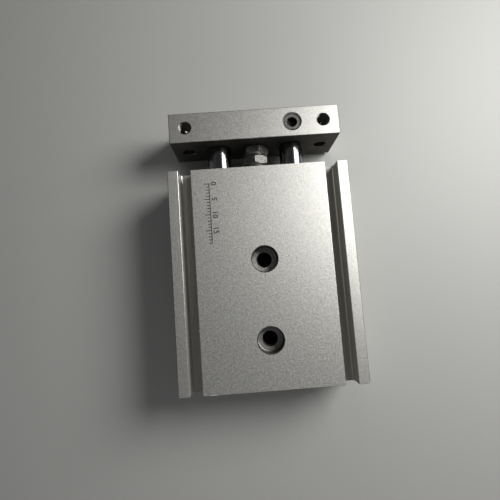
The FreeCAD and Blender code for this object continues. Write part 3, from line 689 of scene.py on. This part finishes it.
def boreCutters():
    shape, (low, high) = bodyShape, span("cylinder_body")
    radius, groove, mouth = shape["bore"] / 2, shape["ringGroove"] / 2, shape["boreMouth"]
    cutters = []
    for side in ("left", "right"):
        profile = holeMouth(radius, mouth, low.y, 1)
        for place in ("rear", "front"):
            start, end = (corner.y for corner in span(f"{place}_retaining_ring_{side}"))
            profile += [(radius, start), (groove, start), (groove, end), (radius, end)]
        profile += holeMouth(radius, mouth, high.y, -1)[::-1]
        cutters.append(lathe(profile, "y", middleOf("piston_" + side), "boreCutter", "boreAluminium",
                             segments=96))
    return cutters


# small marks of use on the top; place is from the middle of its front edge
bodyMarks = {
    "pit": {
        "place": (13.4, -6.2, 0.05), "radii": (0.16, 0.16, 0.16), "turn": 0, "finish": "springSteel",
    },
    "scratch": {
        "place": (-0.2, -35.2, 0.03), "radii": (0.12, 0.42, 0.10), "turn": 4, "finish": "springSteel",
    },
    "edgeKnock": {
        "place": (-18.4, -70.0, 0.0), "radii": (1.4, 0.22, 0.2), "turn": 3, "finish": "wornAluminium",
    },
}


# the cutter for a small hollow: a ball with its own radius along each axis
def mark(place, radii, turn, name, finish):
    form = bmesh.new()
    bmesh.ops.create_uvsphere(form, u_segments=16, v_segments=10, radius=1)
    rotation = Matrix.Rotation(math.radians(turn), 4, "Z")
    shape = Matrix.Translation(place) @ rotation @ Matrix.Diagonal((*radii, 1))
    bmesh.ops.transform(form, matrix=shape, verts=form.verts)
    return meshFrom(form, name, finish)


def buildBody():
    shape, (low, high) = bodyShape, span("cylinder_body")
    outer, top, edge = high.x, high.z, shape["edge"]
    grooveOuter = outer - shape["railWidth"]
    grooveInner = grooveOuter - shape["grooveWidth"]
    floor = top - shape["grooveDepth"]
    upper = [(grooveInner, top, edge), (grooveInner, floor, edge),
             (grooveOuter, floor, shape["grooveFillet"]), (grooveOuter, top, edge), (outer, top, edge)]
    lower = [(x, low.z + top - z, r) for x, z, r in reversed(upper)]
    right = upper + lower
    left = [(-x, z, r) for x, z, r in reversed(right)]
    outline = roundOutline(right + left)
    body = prism(outline, low.y, high.y, "y", shape["rim"], "bodyExtrusion", "blastedAluminium")
    plan = roundOutline([(x, y, shape["cornerFillet"]) for x, y in
                         ((outer, low.y), (outer, high.y), (-outer, high.y), (-outer, low.y))])
    trim = prism(plan, low.z - 1, top + 1, "z", 0, "cornerTrim", "blastedAluminium")
    carve(body, [trim], "INTERSECT")
    marks = []
    for name, use in bodyMarks.items():
        place = Vector(use["place"]) + Vector((0, high.y, top))
        marks.append(mark(place, use["radii"], use["turn"], name + "Cutter", use["finish"]))
    carve(body, boreCutters() + mountingHoleCutters() + portCutters() + marks)

    near, close = 0.1, 0.01  # millimetres that a face's middle may be off

    def rule(middle, normal, finish):
        fromMiddle = abs(middle.z - top / 2)
        # inside the mounting holes, all but the counterbore's seat take the near-black painted shade
        if finish == "boredAluminium":
            fromFloor = top / 2 - fromMiddle - shape["counterboreDepth"]
            onSeat = -shape["counterboreCorner"] - near < fromFloor < near
            return None if onSeat and abs(normal.z) > mostlyFacing else "holeShadeAluminium"
        if finish != "blastedAluminium":
            return None
        inGroove = grooveInner - close < abs(middle.x) < grooveOuter + close
        # the groove floors and walls take the darker finishes, which are partly painted shade
        if inGroove and fromMiddle < top / 2 - 2 * near and abs(normal.y) < 0.5:
            return "drawnShadedAluminium" if abs(normal.z) > mostlyFacing else "grooveWallShadedAluminium"
        if abs(normal.y) > flatFace:
            return "sawnAluminium"
        if max(abs(normal.x), abs(normal.z)) > flatFace:
            return None
        # the outermost edges that face up or down take the dark painted-shade outline; the other rounded
        # edges are worn
        outerEdge = abs(middle.x) > outer - edge or middle.y < low.y + edge
        return "paintedShadeAluminium" if outerEdge and abs(normal.z) > hardlyFacing else "wornAluminium"

    repaint(body, rule)
    finishPiece(body, "housing", ["cylinder_body"])


plateShape = {
    "edge": 0.22, "rim": 0.2, "core": 4.2, "major": 5.0, "pitch": 0.8, "leadIn": 0.12,
    "rodClearance": 0.02, "rodMouth": 0.3,
    "capBore": 9.0, "capDepth": 5.4, "capShank": 5.04, "capRim": 0.25,
    "boltFlare": -0.3,  # its hole narrows at both faces, so that no gap shows round the thread
    "setCore": 5.0, "setMajor": 6.0, "setPitch": 0.75, "setRim": 0.15, "setPlay": 0.02,
    "setHoleFoot": 4.0, "setThreadFoot": 3.0,  # below the set screw's middle
}
plateNick = {"place": (1.5, 0.12, 0.02), "radii": (0.14, 0.3, 0.12), "turn": -25}


def plateCutters():
    shape, (low, high) = plateShape, span("tool_plate")
    core, major, lead, pitch = shape["core"] / 2, shape["major"] / 2, shape["leadIn"], shape["pitch"]
    inside, gap = threadCut["inside"], threadCut["endGap"]
    cutters, threads = [], []
    for side in (-0.5, 0.5):
        for name, axis, bottom, top in (("plate_front_holes", "y", low.y, high.y),
                                        ("plate_top_holes", "z", low.z, high.z)):
            mount = mounts[name]
            centre = Vector(mount["pos_m"]) / mm + Vector((side * mount["dims"]["spacing_x_mm"], 0, 0))
            profile = throughHole(core, lead, bottom, top)
            cutters.append(lathe(profile, axis, centre, "tappedCutter", "cutShadedAluminium"))
            threads.append((core - inside, major, pitch, bottom + gap, top - gap, axis, centre))

    rod, mouth = radiusOf("piston_rod_left") + shape["rodClearance"], shape["rodMouth"]
    rodEnd = span("piston_rod_left")[1].y
    cap, shank, headSeat = shape["capBore"] / 2, shape["capShank"] / 2, high.y - shape["capDepth"]
    profile = holeMouth(rod, mouth, low.y, 1) + [
        (rod, rodEnd), (shank, rodEnd), (shank, headSeat), (cap, headSeat)]
    profile += holeMouth(cap, shape["capRim"], high.y, -1)[::-1]
    cutters.append(lathe(profile, "y", middleOf("piston_rod_left"), "rodSeatCutter", "cutShadedAluminium"))
    profile = throughHole(rod, mouth, low.y, high.y)
    cutters.append(lathe(profile, "y", middleOf("piston_rod_right"), "rodHoleCutter", "cutShadedAluminium"))
    profile = throughHole(shank, shape["boltFlare"], low.y, high.y, lead)
    cutters.append(lathe(profile, "y", middleOf("bumper_bolt"), "boltHoleCutter", "cutShadedAluminium"))

    core, major, axis = shape["setCore"] / 2, shape["setMajor"] / 2, middleOf("rod_set_screw")
    foot = axis.z - shape["setHoleFoot"]
    profile = [(0, foot), (core, foot)] + holeMouth(core, major + shape["setRim"] - core, high.z, -1)[::-1]
    cutters.append(lathe(profile, "z", axis, "setHoleCutter", "tappedAluminium"))
    threads.append((core - inside, major + shape["setPlay"], shape["setPitch"],
                    axis.z - shape["setThreadFoot"], high.z - gap, "z", axis))
    cutters += [screw(*thread, "threadCutter", "tappedAluminium") for thread in threads]
    return cutters


def buildPlate():
    shape, (low, high) = plateShape, span("tool_plate")
    edge = shape["edge"]
    outline = roundOutline([(low.x, low.z, edge), (high.x, low.z, edge), (high.x, high.z, edge),
                            (low.x, high.z, edge)])
    plate = prism(outline, low.y, high.y, "y", shape["rim"], "toolPlateBlock", "milledAluminium")
    x, back, sunk = plateNick["place"]
    place = Vector((x, low.y + back, high.z + sunk))
    nick = mark(place, plateNick["radii"], plateNick["turn"], "nickCutter", "springSteel")
    carve(plate, plateCutters() + [nick])

    def rule(middle, normal, finish):
        if finish != "milledAluminium":
            return None
        # the plate's rear face is painted dark as shade, and its outermost edges take the dark painted-shade
        # outline
        if normal.y < -flatFace:
            return "paintedShadeAluminium"
        if max(abs(normal.x), abs(normal.y), abs(normal.z)) > flatFace:
            return None
        outerEdge = abs(middle.x) > high.x - edge or middle.y > high.y - edge
        return "paintedShadeAluminium" if outerEdge else "wornAluminium"

    repaint(plate, rule)
    finishPiece(plate, "slide_unit", ["tool_plate"])


rodShape = {
    "chamfer": 0.5, "spigot": 4.0, "spigotChamfer": 0.3, "edge": 0.06,
    "tapped": 5.0, "flatWidth": 6.4, "flatGap": 0.02,
}


def buildRods():
    shape = rodShape
    for side in ("left", "right"):
        low, high = span("piston_rod_" + side)
        radius, chamfer = radiusOf("piston_rod_" + side), shape["chamfer"]
        spigot, tip = shape["spigot"] / 2, shape["spigotChamfer"]
        shoulder = span("piston_" + side)[1].y
        profile = [(0, low.y), (spigot - tip, low.y), (spigot, low.y + tip), (spigot, shoulder),
                   (radius, shoulder), (radius, high.y - chamfer), (radius - chamfer, high.y), (0, high.y)]
        axis = middleOf("piston_rod_" + side)
        rod = lathe(softProfile(profile, shape["edge"]), "y", axis, side + "RodChromed", "chromedRod",
                    segments=128)
        if side == "left":
            tapped, foot = shape["tapped"] / 2, span("rod_cap_screw")[0].y - 1
            hole = [(0, foot - 1), (tapped, foot), (tapped, high.y + 1), (0, high.y + 1)]
            cutter = lathe(hole, "y", axis, "rodTapCutter", "cutShadedAluminium")
        else:
            depth = span("rod_set_screw")[0].z - shape["flatGap"]
            place, reach = middleOf("rod_set_screw"), shape["flatWidth"] / 2
            outline = [Vector((axis.x + across * radius, place.y + along * reach))
                       for across, along in ((-1, -1), (1, -1), (1, 1), (-1, 1))]
            cutter = prism(outline, depth, depth + radius, "z", 0, "flatCutter", "cutShadedAluminium")
        carve(rod, [cutter])
        finishPiece(rod, "slide_unit", ["piston_rod_" + side])


boltShape = {
    "across": 8.0, "soft": 0.12, "bevel": 40, "bevelStart": 0.9, "past": 0.5,  # nut and head alike
    "endFacing": 0.95, "flatSpread": 4,  # what counts as an end, and as a flat in degrees either side
    "nutTurn": 107, "nutHole": 4.94, "nutFlare": 0.23, "nutFlareDepth": 0.25,
    "boltTurn": 86, "headHeight": 3.5, "socket": 2.5, "socketDepth": 2.4,
    "major": 5.0, "core": 4.1, "pitch": 0.8, "play": 0.02, "root": 0.3, "tip": 1.5,
}


# the pad's stem sits in the bolt's head
padShape = {"edge": 0.4, "soft": 0.12, "stem": 3.2, "stemChamfer": 0.2, "stemPlay": 0.02, "holePoint": 0.4}


# a nut or head: a hexagon whose corners are turned off at both ends
def bevelledHexagon(bottom, top, axis, turn, name, finish):
    shape, half = boltShape, boltShape["across"] / 2
    flat, reach = half * shape["bevelStart"], half / math.cos(math.radians(30)) + shape["past"]
    drop = (reach - flat) * math.tan(math.radians(shape["bevel"]))
    profile = [(0, bottom), (flat, bottom), (reach, bottom + drop), (reach, top - drop), (flat, top),
               (0, top)]
    hexForm = hexagon(2 * half, bottom, top, "y", axis, turn, name, finish, shape["soft"])
    barrel = lathe(profile, "y", axis, "bevelTurned", "wornSteel", segments=128)
    piece = carve(hexForm, [barrel], "INTERSECT")

    # the ends keep the finish, and the rounded corners between the flats are worn
    def rule(middle, normal, made):
        if abs(normal.y) > shape["endFacing"]:
            return finish
        fromFlat = (math.degrees(math.atan2(normal.z, normal.x)) + turn - 30) % 60
        onCorner = shape["flatSpread"] < fromFlat < 60 - shape["flatSpread"]
        return "wornSteel" if onCorner and abs(normal.y) < hardlyFacing else None

    repaint(piece, rule)
    return piece


def buildBumper():
    shape, axis = boltShape, middleOf("bumper_bolt")
    nutLow, nutHigh = span("bumper_nut")
    nut = bevelledHexagon(nutLow.y, nutHigh.y, axis, shape["nutTurn"], "lockNut", "greySteel")
    hole = throughHole(shape["nutHole"] / 2, shape["nutFlare"], nutLow.y, nutHigh.y,
                       shape["nutFlareDepth"])
    carve(nut, [lathe(hole, "y", axis, "nutHoleCutter", "greySteel")])
    finishPiece(nut, "slide_unit", ["bumper_nut"])

    boltLow, boltHigh = span("bumper_bolt")
    major, core, headTop = shape["major"] / 2, shape["core"] / 2, boltLow.y + shape["headHeight"]
    head = bevelledHexagon(boltLow.y, headTop, axis, shape["boltTurn"], "bumperBolt", "greySteel")
    shank = screw(core, major - shape["play"], shape["pitch"], headTop - shape["root"], boltHigh.y, "y", axis,
                  "boltThread", "greySteel", segments=48)
    tip = [(0, boltLow.y + 1), (major + 1, boltLow.y + 1), (major + 1, boltHigh.y - shape["tip"]),
           (core, boltHigh.y), (0, boltHigh.y)]
    carve(shank, [lathe(tip, "y", axis, "boltTip", "greySteel")], "INTERSECT")
    carve(head, [shank], "UNION")
    socket = hexagon(shape["socket"], boltHigh.y - shape["socketDepth"], boltHigh.y + 1, "y", axis, 0,
                     "socketCutter", "greySteel")
    stem, stemEnd = padShape["stem"] / 2 + padShape["stemPlay"], span("bumper_pad")[1].y
    stemHole = [(0, boltLow.y - 1), (stem, boltLow.y - 1), (stem, stemEnd),
                (0, stemEnd + padShape["holePoint"])]
    carve(head, [socket, lathe(stemHole, "y", axis, "stemCutter", "greySteel")])
    finishPiece(head, "slide_unit", ["bumper_bolt"])


def buildPad():
    low, high = span("bumper_pad")
    shape, back = padShape, span("bumper_bolt")[0].y
    radius, edge, stem, tip = radiusOf("bumper_pad"), shape["edge"], shape["stem"] / 2, shape["stemChamfer"]
    profile = [(0, low.y), (radius - edge, low.y), (radius, low.y + edge), (radius, back), (stem, back),
               (stem, high.y - tip), (stem - tip, high.y), (0, high.y)]
    pad = lathe(softProfile(profile, shape["soft"], 3), "y", middleOf("bumper_bolt"), "bumperPadMoulded",
                "bumperUrethane")
    finishPiece(pad, "slide_unit", ["bumper_pad"])


# A hexagon socket sunk into a face: coned mouth, flats and the drill's point. inward is 1 where it
# runs up the axis and -1 where it runs down. The cone narrows in two steps, rim and then foot.
def socketCutters(socket, face, inward, axis, centre):
    half, floor, outside = socket["across"] / 2, face + inward * socket["depth"], face - inward
    footOut, footDeep = socket["foot"]
    mouth = [(0, face + inward * socket["cone"]), (half + footOut, face + inward * footDeep),
             (half + socket["rim"], face), (half + socket["rim"] + 1, outside), (0, outside)]
    bottom, top = sorted((floor, outside))
    cutters = [lathe(mouth, axis, centre, "socketMouth", "blackSteel", segments=48),
               hexagon(socket["across"], bottom, top, axis, centre, socket["turn"], "socketCutter",
                       "blackSteel")]
    if "point" in socket:
        overlap = inward * 0.1
        point = [(0, floor + inward * socket["point"]), (half, floor - overlap), (0, floor - 2 * overlap)]
        cutters.append(lathe(point, axis, centre, "socketPoint", "blackSteel", segments=48))
    return cutters


setScrewShape = {
    "pitch": 0.75, "threadDepth": 0.42, "play": 0.02, "point": 0.9,
    "chamfer": 0.45, "chamferHeight": 0.55, "past": 0.1,
    "endFacing": 0.9, "endReach": 0.1,  # what counts as the flat end
    "socket": {"across": 3.0, "depth": 2.0, "turn": 10, "cone": 0.35, "foot": (0.05, 0.18), "rim": 0.23,
               "point": 0.7},
}


def buildSetScrew():
    low, high = span("rod_set_screw")
    axis, shape = middleOf("rod_set_screw"), setScrewShape
    radius, point = radiusOf("rod_set_screw"), shape["point"]
    thread = screw(radius - shape["threadDepth"], radius - shape["play"], shape["pitch"], low.z, high.z, "z",
                   axis, "rodSetScrewTurned", "blackSteel", segments=64)
    past = radius + shape["past"]
    ends = [(0, low.z), (radius - point, low.z), (past, low.z + point),
            (past, high.z - shape["chamferHeight"]), (radius - shape["chamfer"], high.z), (0, high.z)]
    carve(thread, [lathe(ends, "z", axis, "setScrewEnds", "blackSteel", segments=96)], "INTERSECT")
    carve(thread, socketCutters(shape["socket"], high.z, -1, "z", axis))

    # the flat end has worn through its black
    def rule(middle, normal, finish):
        onEnd = normal.z > shape["endFacing"] and middle.z > high.z - shape["endReach"]
        return "greySteel" if onEnd else None

    repaint(thread, rule)
    finishPiece(thread, "slide_unit", ["rod_set_screw"])


capScrewShape = {
    "head": 8.5, "headHeight": 5.0, "footChamfer": 0.3,
    "crown": ((0, 0.7), (0.2, 0.25), (0.6, 0)),  # in from the head's side and down from its top
    "core": 4.1, "major": 4.96, "pitch": 0.8, "root": 0.3,
    "knurls": 40, "knurlRadius": 0.24, "knurlOut": 0.072,
    "knurlFoot": 0.5, "knurlTop": 0.9, "knurlPoint": 0.3,  # up from the seat, down from the top, runout
    "socket": {"across": 4.0, "depth": 2.5, "turn": 12, "cone": 0.3, "foot": (0.15, 0.15), "rim": 0.4,
               "point": 0.8},
}


def buildCapScrew():
    low, high = span("rod_cap_screw")
    axis, shape = middleOf("rod_cap_screw"), capScrewShape
    head, seat, chamfer = shape["head"] / 2, high.y - shape["headHeight"], shape["footChamfer"]
    crown = [(head - inset, high.y - drop) for inset, drop in shape["crown"]]
    profile = [(0, seat), (head - chamfer, seat), (head, seat + chamfer)] + crown + [(0, high.y)]
    screwHead = lathe(profile, "y", axis, "rodCapScrewHead", "blackSteel", segments=160)
    foot, top = seat + shape["knurlFoot"], high.y - shape["knurlTop"]
    knurl = [(0, foot), (shape["knurlRadius"], foot), (shape["knurlRadius"], top),
             (0, top + shape["knurlPoint"])]
    reach = head + shape["knurlOut"]
    grooves = []
    for step in range(shape["knurls"]):
        angle = 2 * math.pi * step / shape["knurls"]
        centre = axis + Vector((reach * math.cos(angle), 0, reach * math.sin(angle)))
        grooves.append(lathe(knurl, "y", centre, "knurlCutter", "blackSteel", segments=6))
    carve(screwHead, socketCutters(shape["socket"], high.y, -1, "y", axis) + grooves)
    shank = screw(shape["core"] / 2, shape["major"] / 2, shape["pitch"], low.y, seat + shape["root"], "y",
                  axis, "capThread", "blackSteel")
    carve(screwHead, [shank], "UNION")
    finishPiece(screwHead, "slide_unit", ["rod_cap_screw"])


endShape = {
    "oringGroove": 1.94, "seat": 2.4, "setback": 2.0, "nose": 4.0, "noseRadius": 6.0, "edge": 0.06,
    "rodSealOuter": 6.4, "relief": 0.3, "bushOuter": 5.03,
    "plugLand": 0.6, "plugNoseRadius": 5.5, "plugEdge": 0.1,
    "dishRadius": 4.0, "dishFlat": 3.7, "dishDepth": 0.5,
    "ringEdge": 0.12, "ringEdgeFrom": 40,
}


def buildGlands():
    shape = endShape
    for side in ("left", "right"):
        low, high = span("gland_" + side)
        radius, rod = radiusOf("gland_" + side), radiusOf("piston_rod_" + side) + shape["relief"]
        seal, sealRear = shape["rodSealOuter"], span("rod_seal_" + side)[0].y
        bush, bushFront = shape["bushOuter"], span("rod_bush_" + side)[1].y
        shoulder, nose = low.y + shape["nose"], shape["noseRadius"]
        ringRear = shoulder + shape["setback"]
        ringFront = ringRear + shape["seat"]
        floor = radius - shape["oringGroove"]
        outside = [(radius, high.y), (radius, ringFront), (floor, ringFront), (floor, ringRear),
                   (radius, ringRear), (radius, shoulder), (nose, shoulder), (nose, low.y)]
        inside = [(bush, low.y), (bush, bushFront), (rod, bushFront), (rod, sealRear), (seal, sealRear),
                  (seal, high.y)]
        profile = [tuple(p) for p in roundOutline([(r, a, shape["edge"]) for r, a in outside + inside], 2)]
        gland = lathe(profile, "y", middleOf("gland_" + side), side + "GlandTurned",
                      "turnedAluminium" + side.capitalize(), segments=96, ring=True)
        finishPiece(gland, "housing", ["gland_" + side])
        buildRodSeal(side)


# Lips and valley are shares of the wall between the rod and the gland; the rest is in millimetres.
sealShape = {
    "play": 0.03, "innerLip": 0.38, "valley": 0.5, "outerLip": 0.62, "valleyDepth": 1.1,
    "outerSlope": (0.5, 0.3), "innerSlope": (0.25, 0.5),
    "backRound": 0.2, "shoulderRound": 0.3, "lipRound": 0.15, "rodEdgeRound": 0.1,
}


def buildRodSeal(side):
    low, high = span("rod_seal_" + side)
    shape, outer = sealShape, radiusOf("rod_seal_" + side)
    inner = radiusOf("piston_rod_" + side) + shape["play"]
    wall = outer - inner
    (outerIn, outerDrop), (innerOut, innerDrop) = shape["outerSlope"], shape["innerSlope"]
    back, shoulder, lip = shape["backRound"], shape["shoulderRound"], shape["lipRound"]
    corners = [(outer, low.y, back), (outer, high.y - outerDrop, shoulder), (outer - outerIn, high.y, back),
               (inner + wall * shape["outerLip"], high.y, lip),
               (inner + wall * shape["valley"], high.y - shape["valleyDepth"], shoulder),
               (inner + wall * shape["innerLip"], high.y, lip),
               (inner + innerOut, high.y, shape["rodEdgeRound"]), (inner, high.y - innerDrop, back),
               (inner, low.y, back)]
    profile = [tuple(p) for p in roundOutline(corners)]
    seal = lathe(profile, "y", middleOf("rod_seal_" + side), side + "RodSealMoulded", "darkRubber",
                 segments=96, ring=True)
    finishPiece(seal, "housing", ["rod_seal_" + side])


def buildEndPlugs():
    shape = endShape
    for side in ("left", "right"):
        low, high = span("end_plug_" + side)
        radius = radiusOf("end_plug_" + side)
        land, floor, nose = shape["plugLand"], radius - shape["oringGroove"], shape["plugNoseRadius"]
        rearLand = low.y + land
        frontLand = rearLand + shape["seat"]
        shoulder = frontLand + land
        dish, dishFloor = shape["dishRadius"], low.y + shape["dishDepth"]
        profile = [(0, dishFloor), (shape["dishFlat"], dishFloor), (dish, dishFloor), (dish, low.y),
                   (radius, low.y), (radius, rearLand), (floor, rearLand), (floor, frontLand),
                   (radius, frontLand), (radius, shoulder), (nose, shoulder), (nose, high.y), (0, high.y)]
        plug = lathe(softProfile(profile, shape["plugEdge"]), "y", middleOf("end_plug_" + side),
                     side + "EndPlugTurned", "turnedAluminium" + side.capitalize(), segments=96)
        finishPiece(plug, "housing", ["end_plug_" + side])


# the rings keep their CAD shape, with the rounded edge that stamping leaves
def buildRings():
    for place in ("front", "rear"):
        for side in ("left", "right"):
            ring = frame["nodes"][f"{place}_retaining_ring_{side}"]
            joinFacets(ring)
            bevel = ring.modifiers.new("stampedEdge", "BEVEL")
            bevel.width = endShape["ringEdge"] * mm
            bevel.segments = 2
            bevel.angle_limit = math.radians(endShape["ringEdgeFrom"])
            bevel.use_clamp_overlap = True


plugShape = {
    "core": 4.1, "major": 4.96, "pitch": 0.8, "outer": 5.0, "chamfer": 0.4, "past": 0.1,
    "socket": {"across": 2.5, "depth": 1.8, "turn": 20, "cone": 0.25, "foot": (0.1, 0.15), "rim": 0.35},
}


def buildPortPlugs():
    shape = plugShape
    outer, chamfer, past = shape["outer"] / 2, shape["chamfer"], shape["past"]
    for place in ("front", "rear"):
        low, high = span("port_plug_" + place)
        axis = middleOf("port_plug_" + place)
        plug = screw(shape["core"] / 2, shape["major"] / 2, shape["pitch"], low.x, high.x, "x", axis,
                     place + "PortPlugTurned", "blackSteel", segments=56)
        bevel = chamfer + past
        ends = [(0, low.x), (outer - chamfer, low.x), (outer + past, low.x + bevel),
                (outer + past, high.x - bevel), (outer - chamfer, high.x), (0, high.x)]
        carve(plug, [lathe(ends, "x", axis, "plugEnds", "blackSteel")], "INTERSECT")
        carve(plug, socketCutters(shape["socket"], low.x, 1, "x", axis))
        finishPiece(plug, "housing", ["port_plug_" + place])


scaleShape = {
    "lineX": -16.1, "start": -4.9, "length": 19, "line": 0.28, "ink": 0.01,  # it runs back from start
    "tickReach": 0.8, "longReach": 1.5, "numberEvery": 5,
    "numeralSize": 2.4, "numeralBold": 0.05, "numeralGap": 0.8,
}


def buildScale():
    shape, top = scaleShape, span("cylinder_body")[1].z
    half, x, start = shape["line"] / 2, shape["lineX"], shape["start"]
    comb = [Vector((x + 2 * half, start + half))]
    form = bmesh.new()
    for tick in range(shape["length"] + 1):
        y = start - tick
        numbered = tick % shape["numberEvery"] == 0
        reach = shape["longReach"] if numbered else shape["tickReach"]
        comb += [Vector((x, y + half)), Vector((x - reach, y + half)), Vector((x - reach, y - half)),
                 Vector((x, y - half))]
        if numbered:
            text = bpy.data.curves.new("numeral", "FONT")
            text.body = str(tick)
            text.size = shape["numeralSize"]
            text.align_x = "CENTER"
            text.extrude = shape["ink"] / 2
            text.offset = shape["numeralBold"]
            holder = bpy.data.objects.new("numeral", text)
            bpy.context.scene.collection.objects.link(holder)
            drawn = holder.evaluated_get(bpy.context.evaluated_depsgraph_get())
            flat = bpy.data.meshes.new_from_object(drawn)
            place = Matrix.Translation((x + shape["numeralGap"], y, top + shape["ink"] / 2))
            flat.transform(place @ Matrix.Rotation(math.radians(-90), 4, "Z"))
            form.from_mesh(flat)
            bpy.data.objects.remove(holder)
    comb.append(Vector((x + 2 * half, start - shape["length"] - half)))
    line = prism(comb, top, top + shape["ink"], "z", 0, "scaleLine", "printInk")
    form.from_mesh(line.data)
    bpy.data.objects.remove(line)
    finishPiece(meshFrom(form, "strokeScalePrint", "printInk"), "housing")


innerFinishes = {
    "rod_bush": ("bushBronze", "bush_bronze"),
    "gland_oring": ("darkRubber", "seal_rubber"),
    "end_plug_oring": ("darkRubber", "seal_rubber"),
    "front_retaining_ring": ("springSteel", "ring_steel"),
    "rear_retaining_ring": ("springSteel", "ring_steel"),
    "piston_seal": ("darkRubber", "seal_rubber"),
    "piston_magnet": ("ferriteMagnet", "magnet"),
    "piston_bumper": ("bumperUrethane", "urethane"),
    "piston_nut": ("greySteel", "nut_steel"),
    "piston": ("turnedAluminium", "piston_aluminium"),
}


def dressInside():
    for stem, (finish, slotName) in innerFinishes.items():
        for side in ("left", "right"):
            node = frame["nodes"][stem + "_" + side]
            if finish == "turnedAluminium":
                material = finishes[finish + side.capitalize()]
            else:
                material = finishes[finish]
            node.data.materials.clear()
            node.data.materials.append(material)
            if not node.modifiers:
                joinFacets(node)


def buildFloor():
    form = bmesh.new()
    bmesh.ops.create_grid(form, x_segments=8, y_segments=8, size=floorLook["reach"] * mm)
    bmesh.ops.translate(form, verts=form.verts, vec=(0, 0, cadBox[0].z - floorLook["gap"] * mm))
    mesh = bpy.data.meshes.new("paleFloor")
    form.to_mesh(mesh)
    form.free()
    material = bpy.data.materials.new("paleFloor")
    material.use_nodes = True
    shader = material.node_tree.nodes["Principled BSDF"]
    shader.inputs["Base Color"].default_value = (*floorLook["colour"], 1)
    shader.inputs["Roughness"].default_value = floorLook["roughness"]
    mesh.materials.append(material)
    floor = bpy.data.objects.new("paleFloor", mesh)
    bpy.context.scene.collection.objects.link(floor)


setCamera()
setLamps()
setSky()
buildFloor()
print("stage: camera, lamps and floor set")
buildBody()
print("stage: body made")
buildPlate()
print("stage: plate made")
buildRods()
buildBumper()
buildPad()
print("stage: rods and bumper made")
buildSetScrew()
buildCapScrew()
buildPortPlugs()
print("stage: screws made")
buildGlands()
buildEndPlugs()
buildRings()
dressInside()
buildScale()
print("stage: bores closed, inside dressed, scale printed")
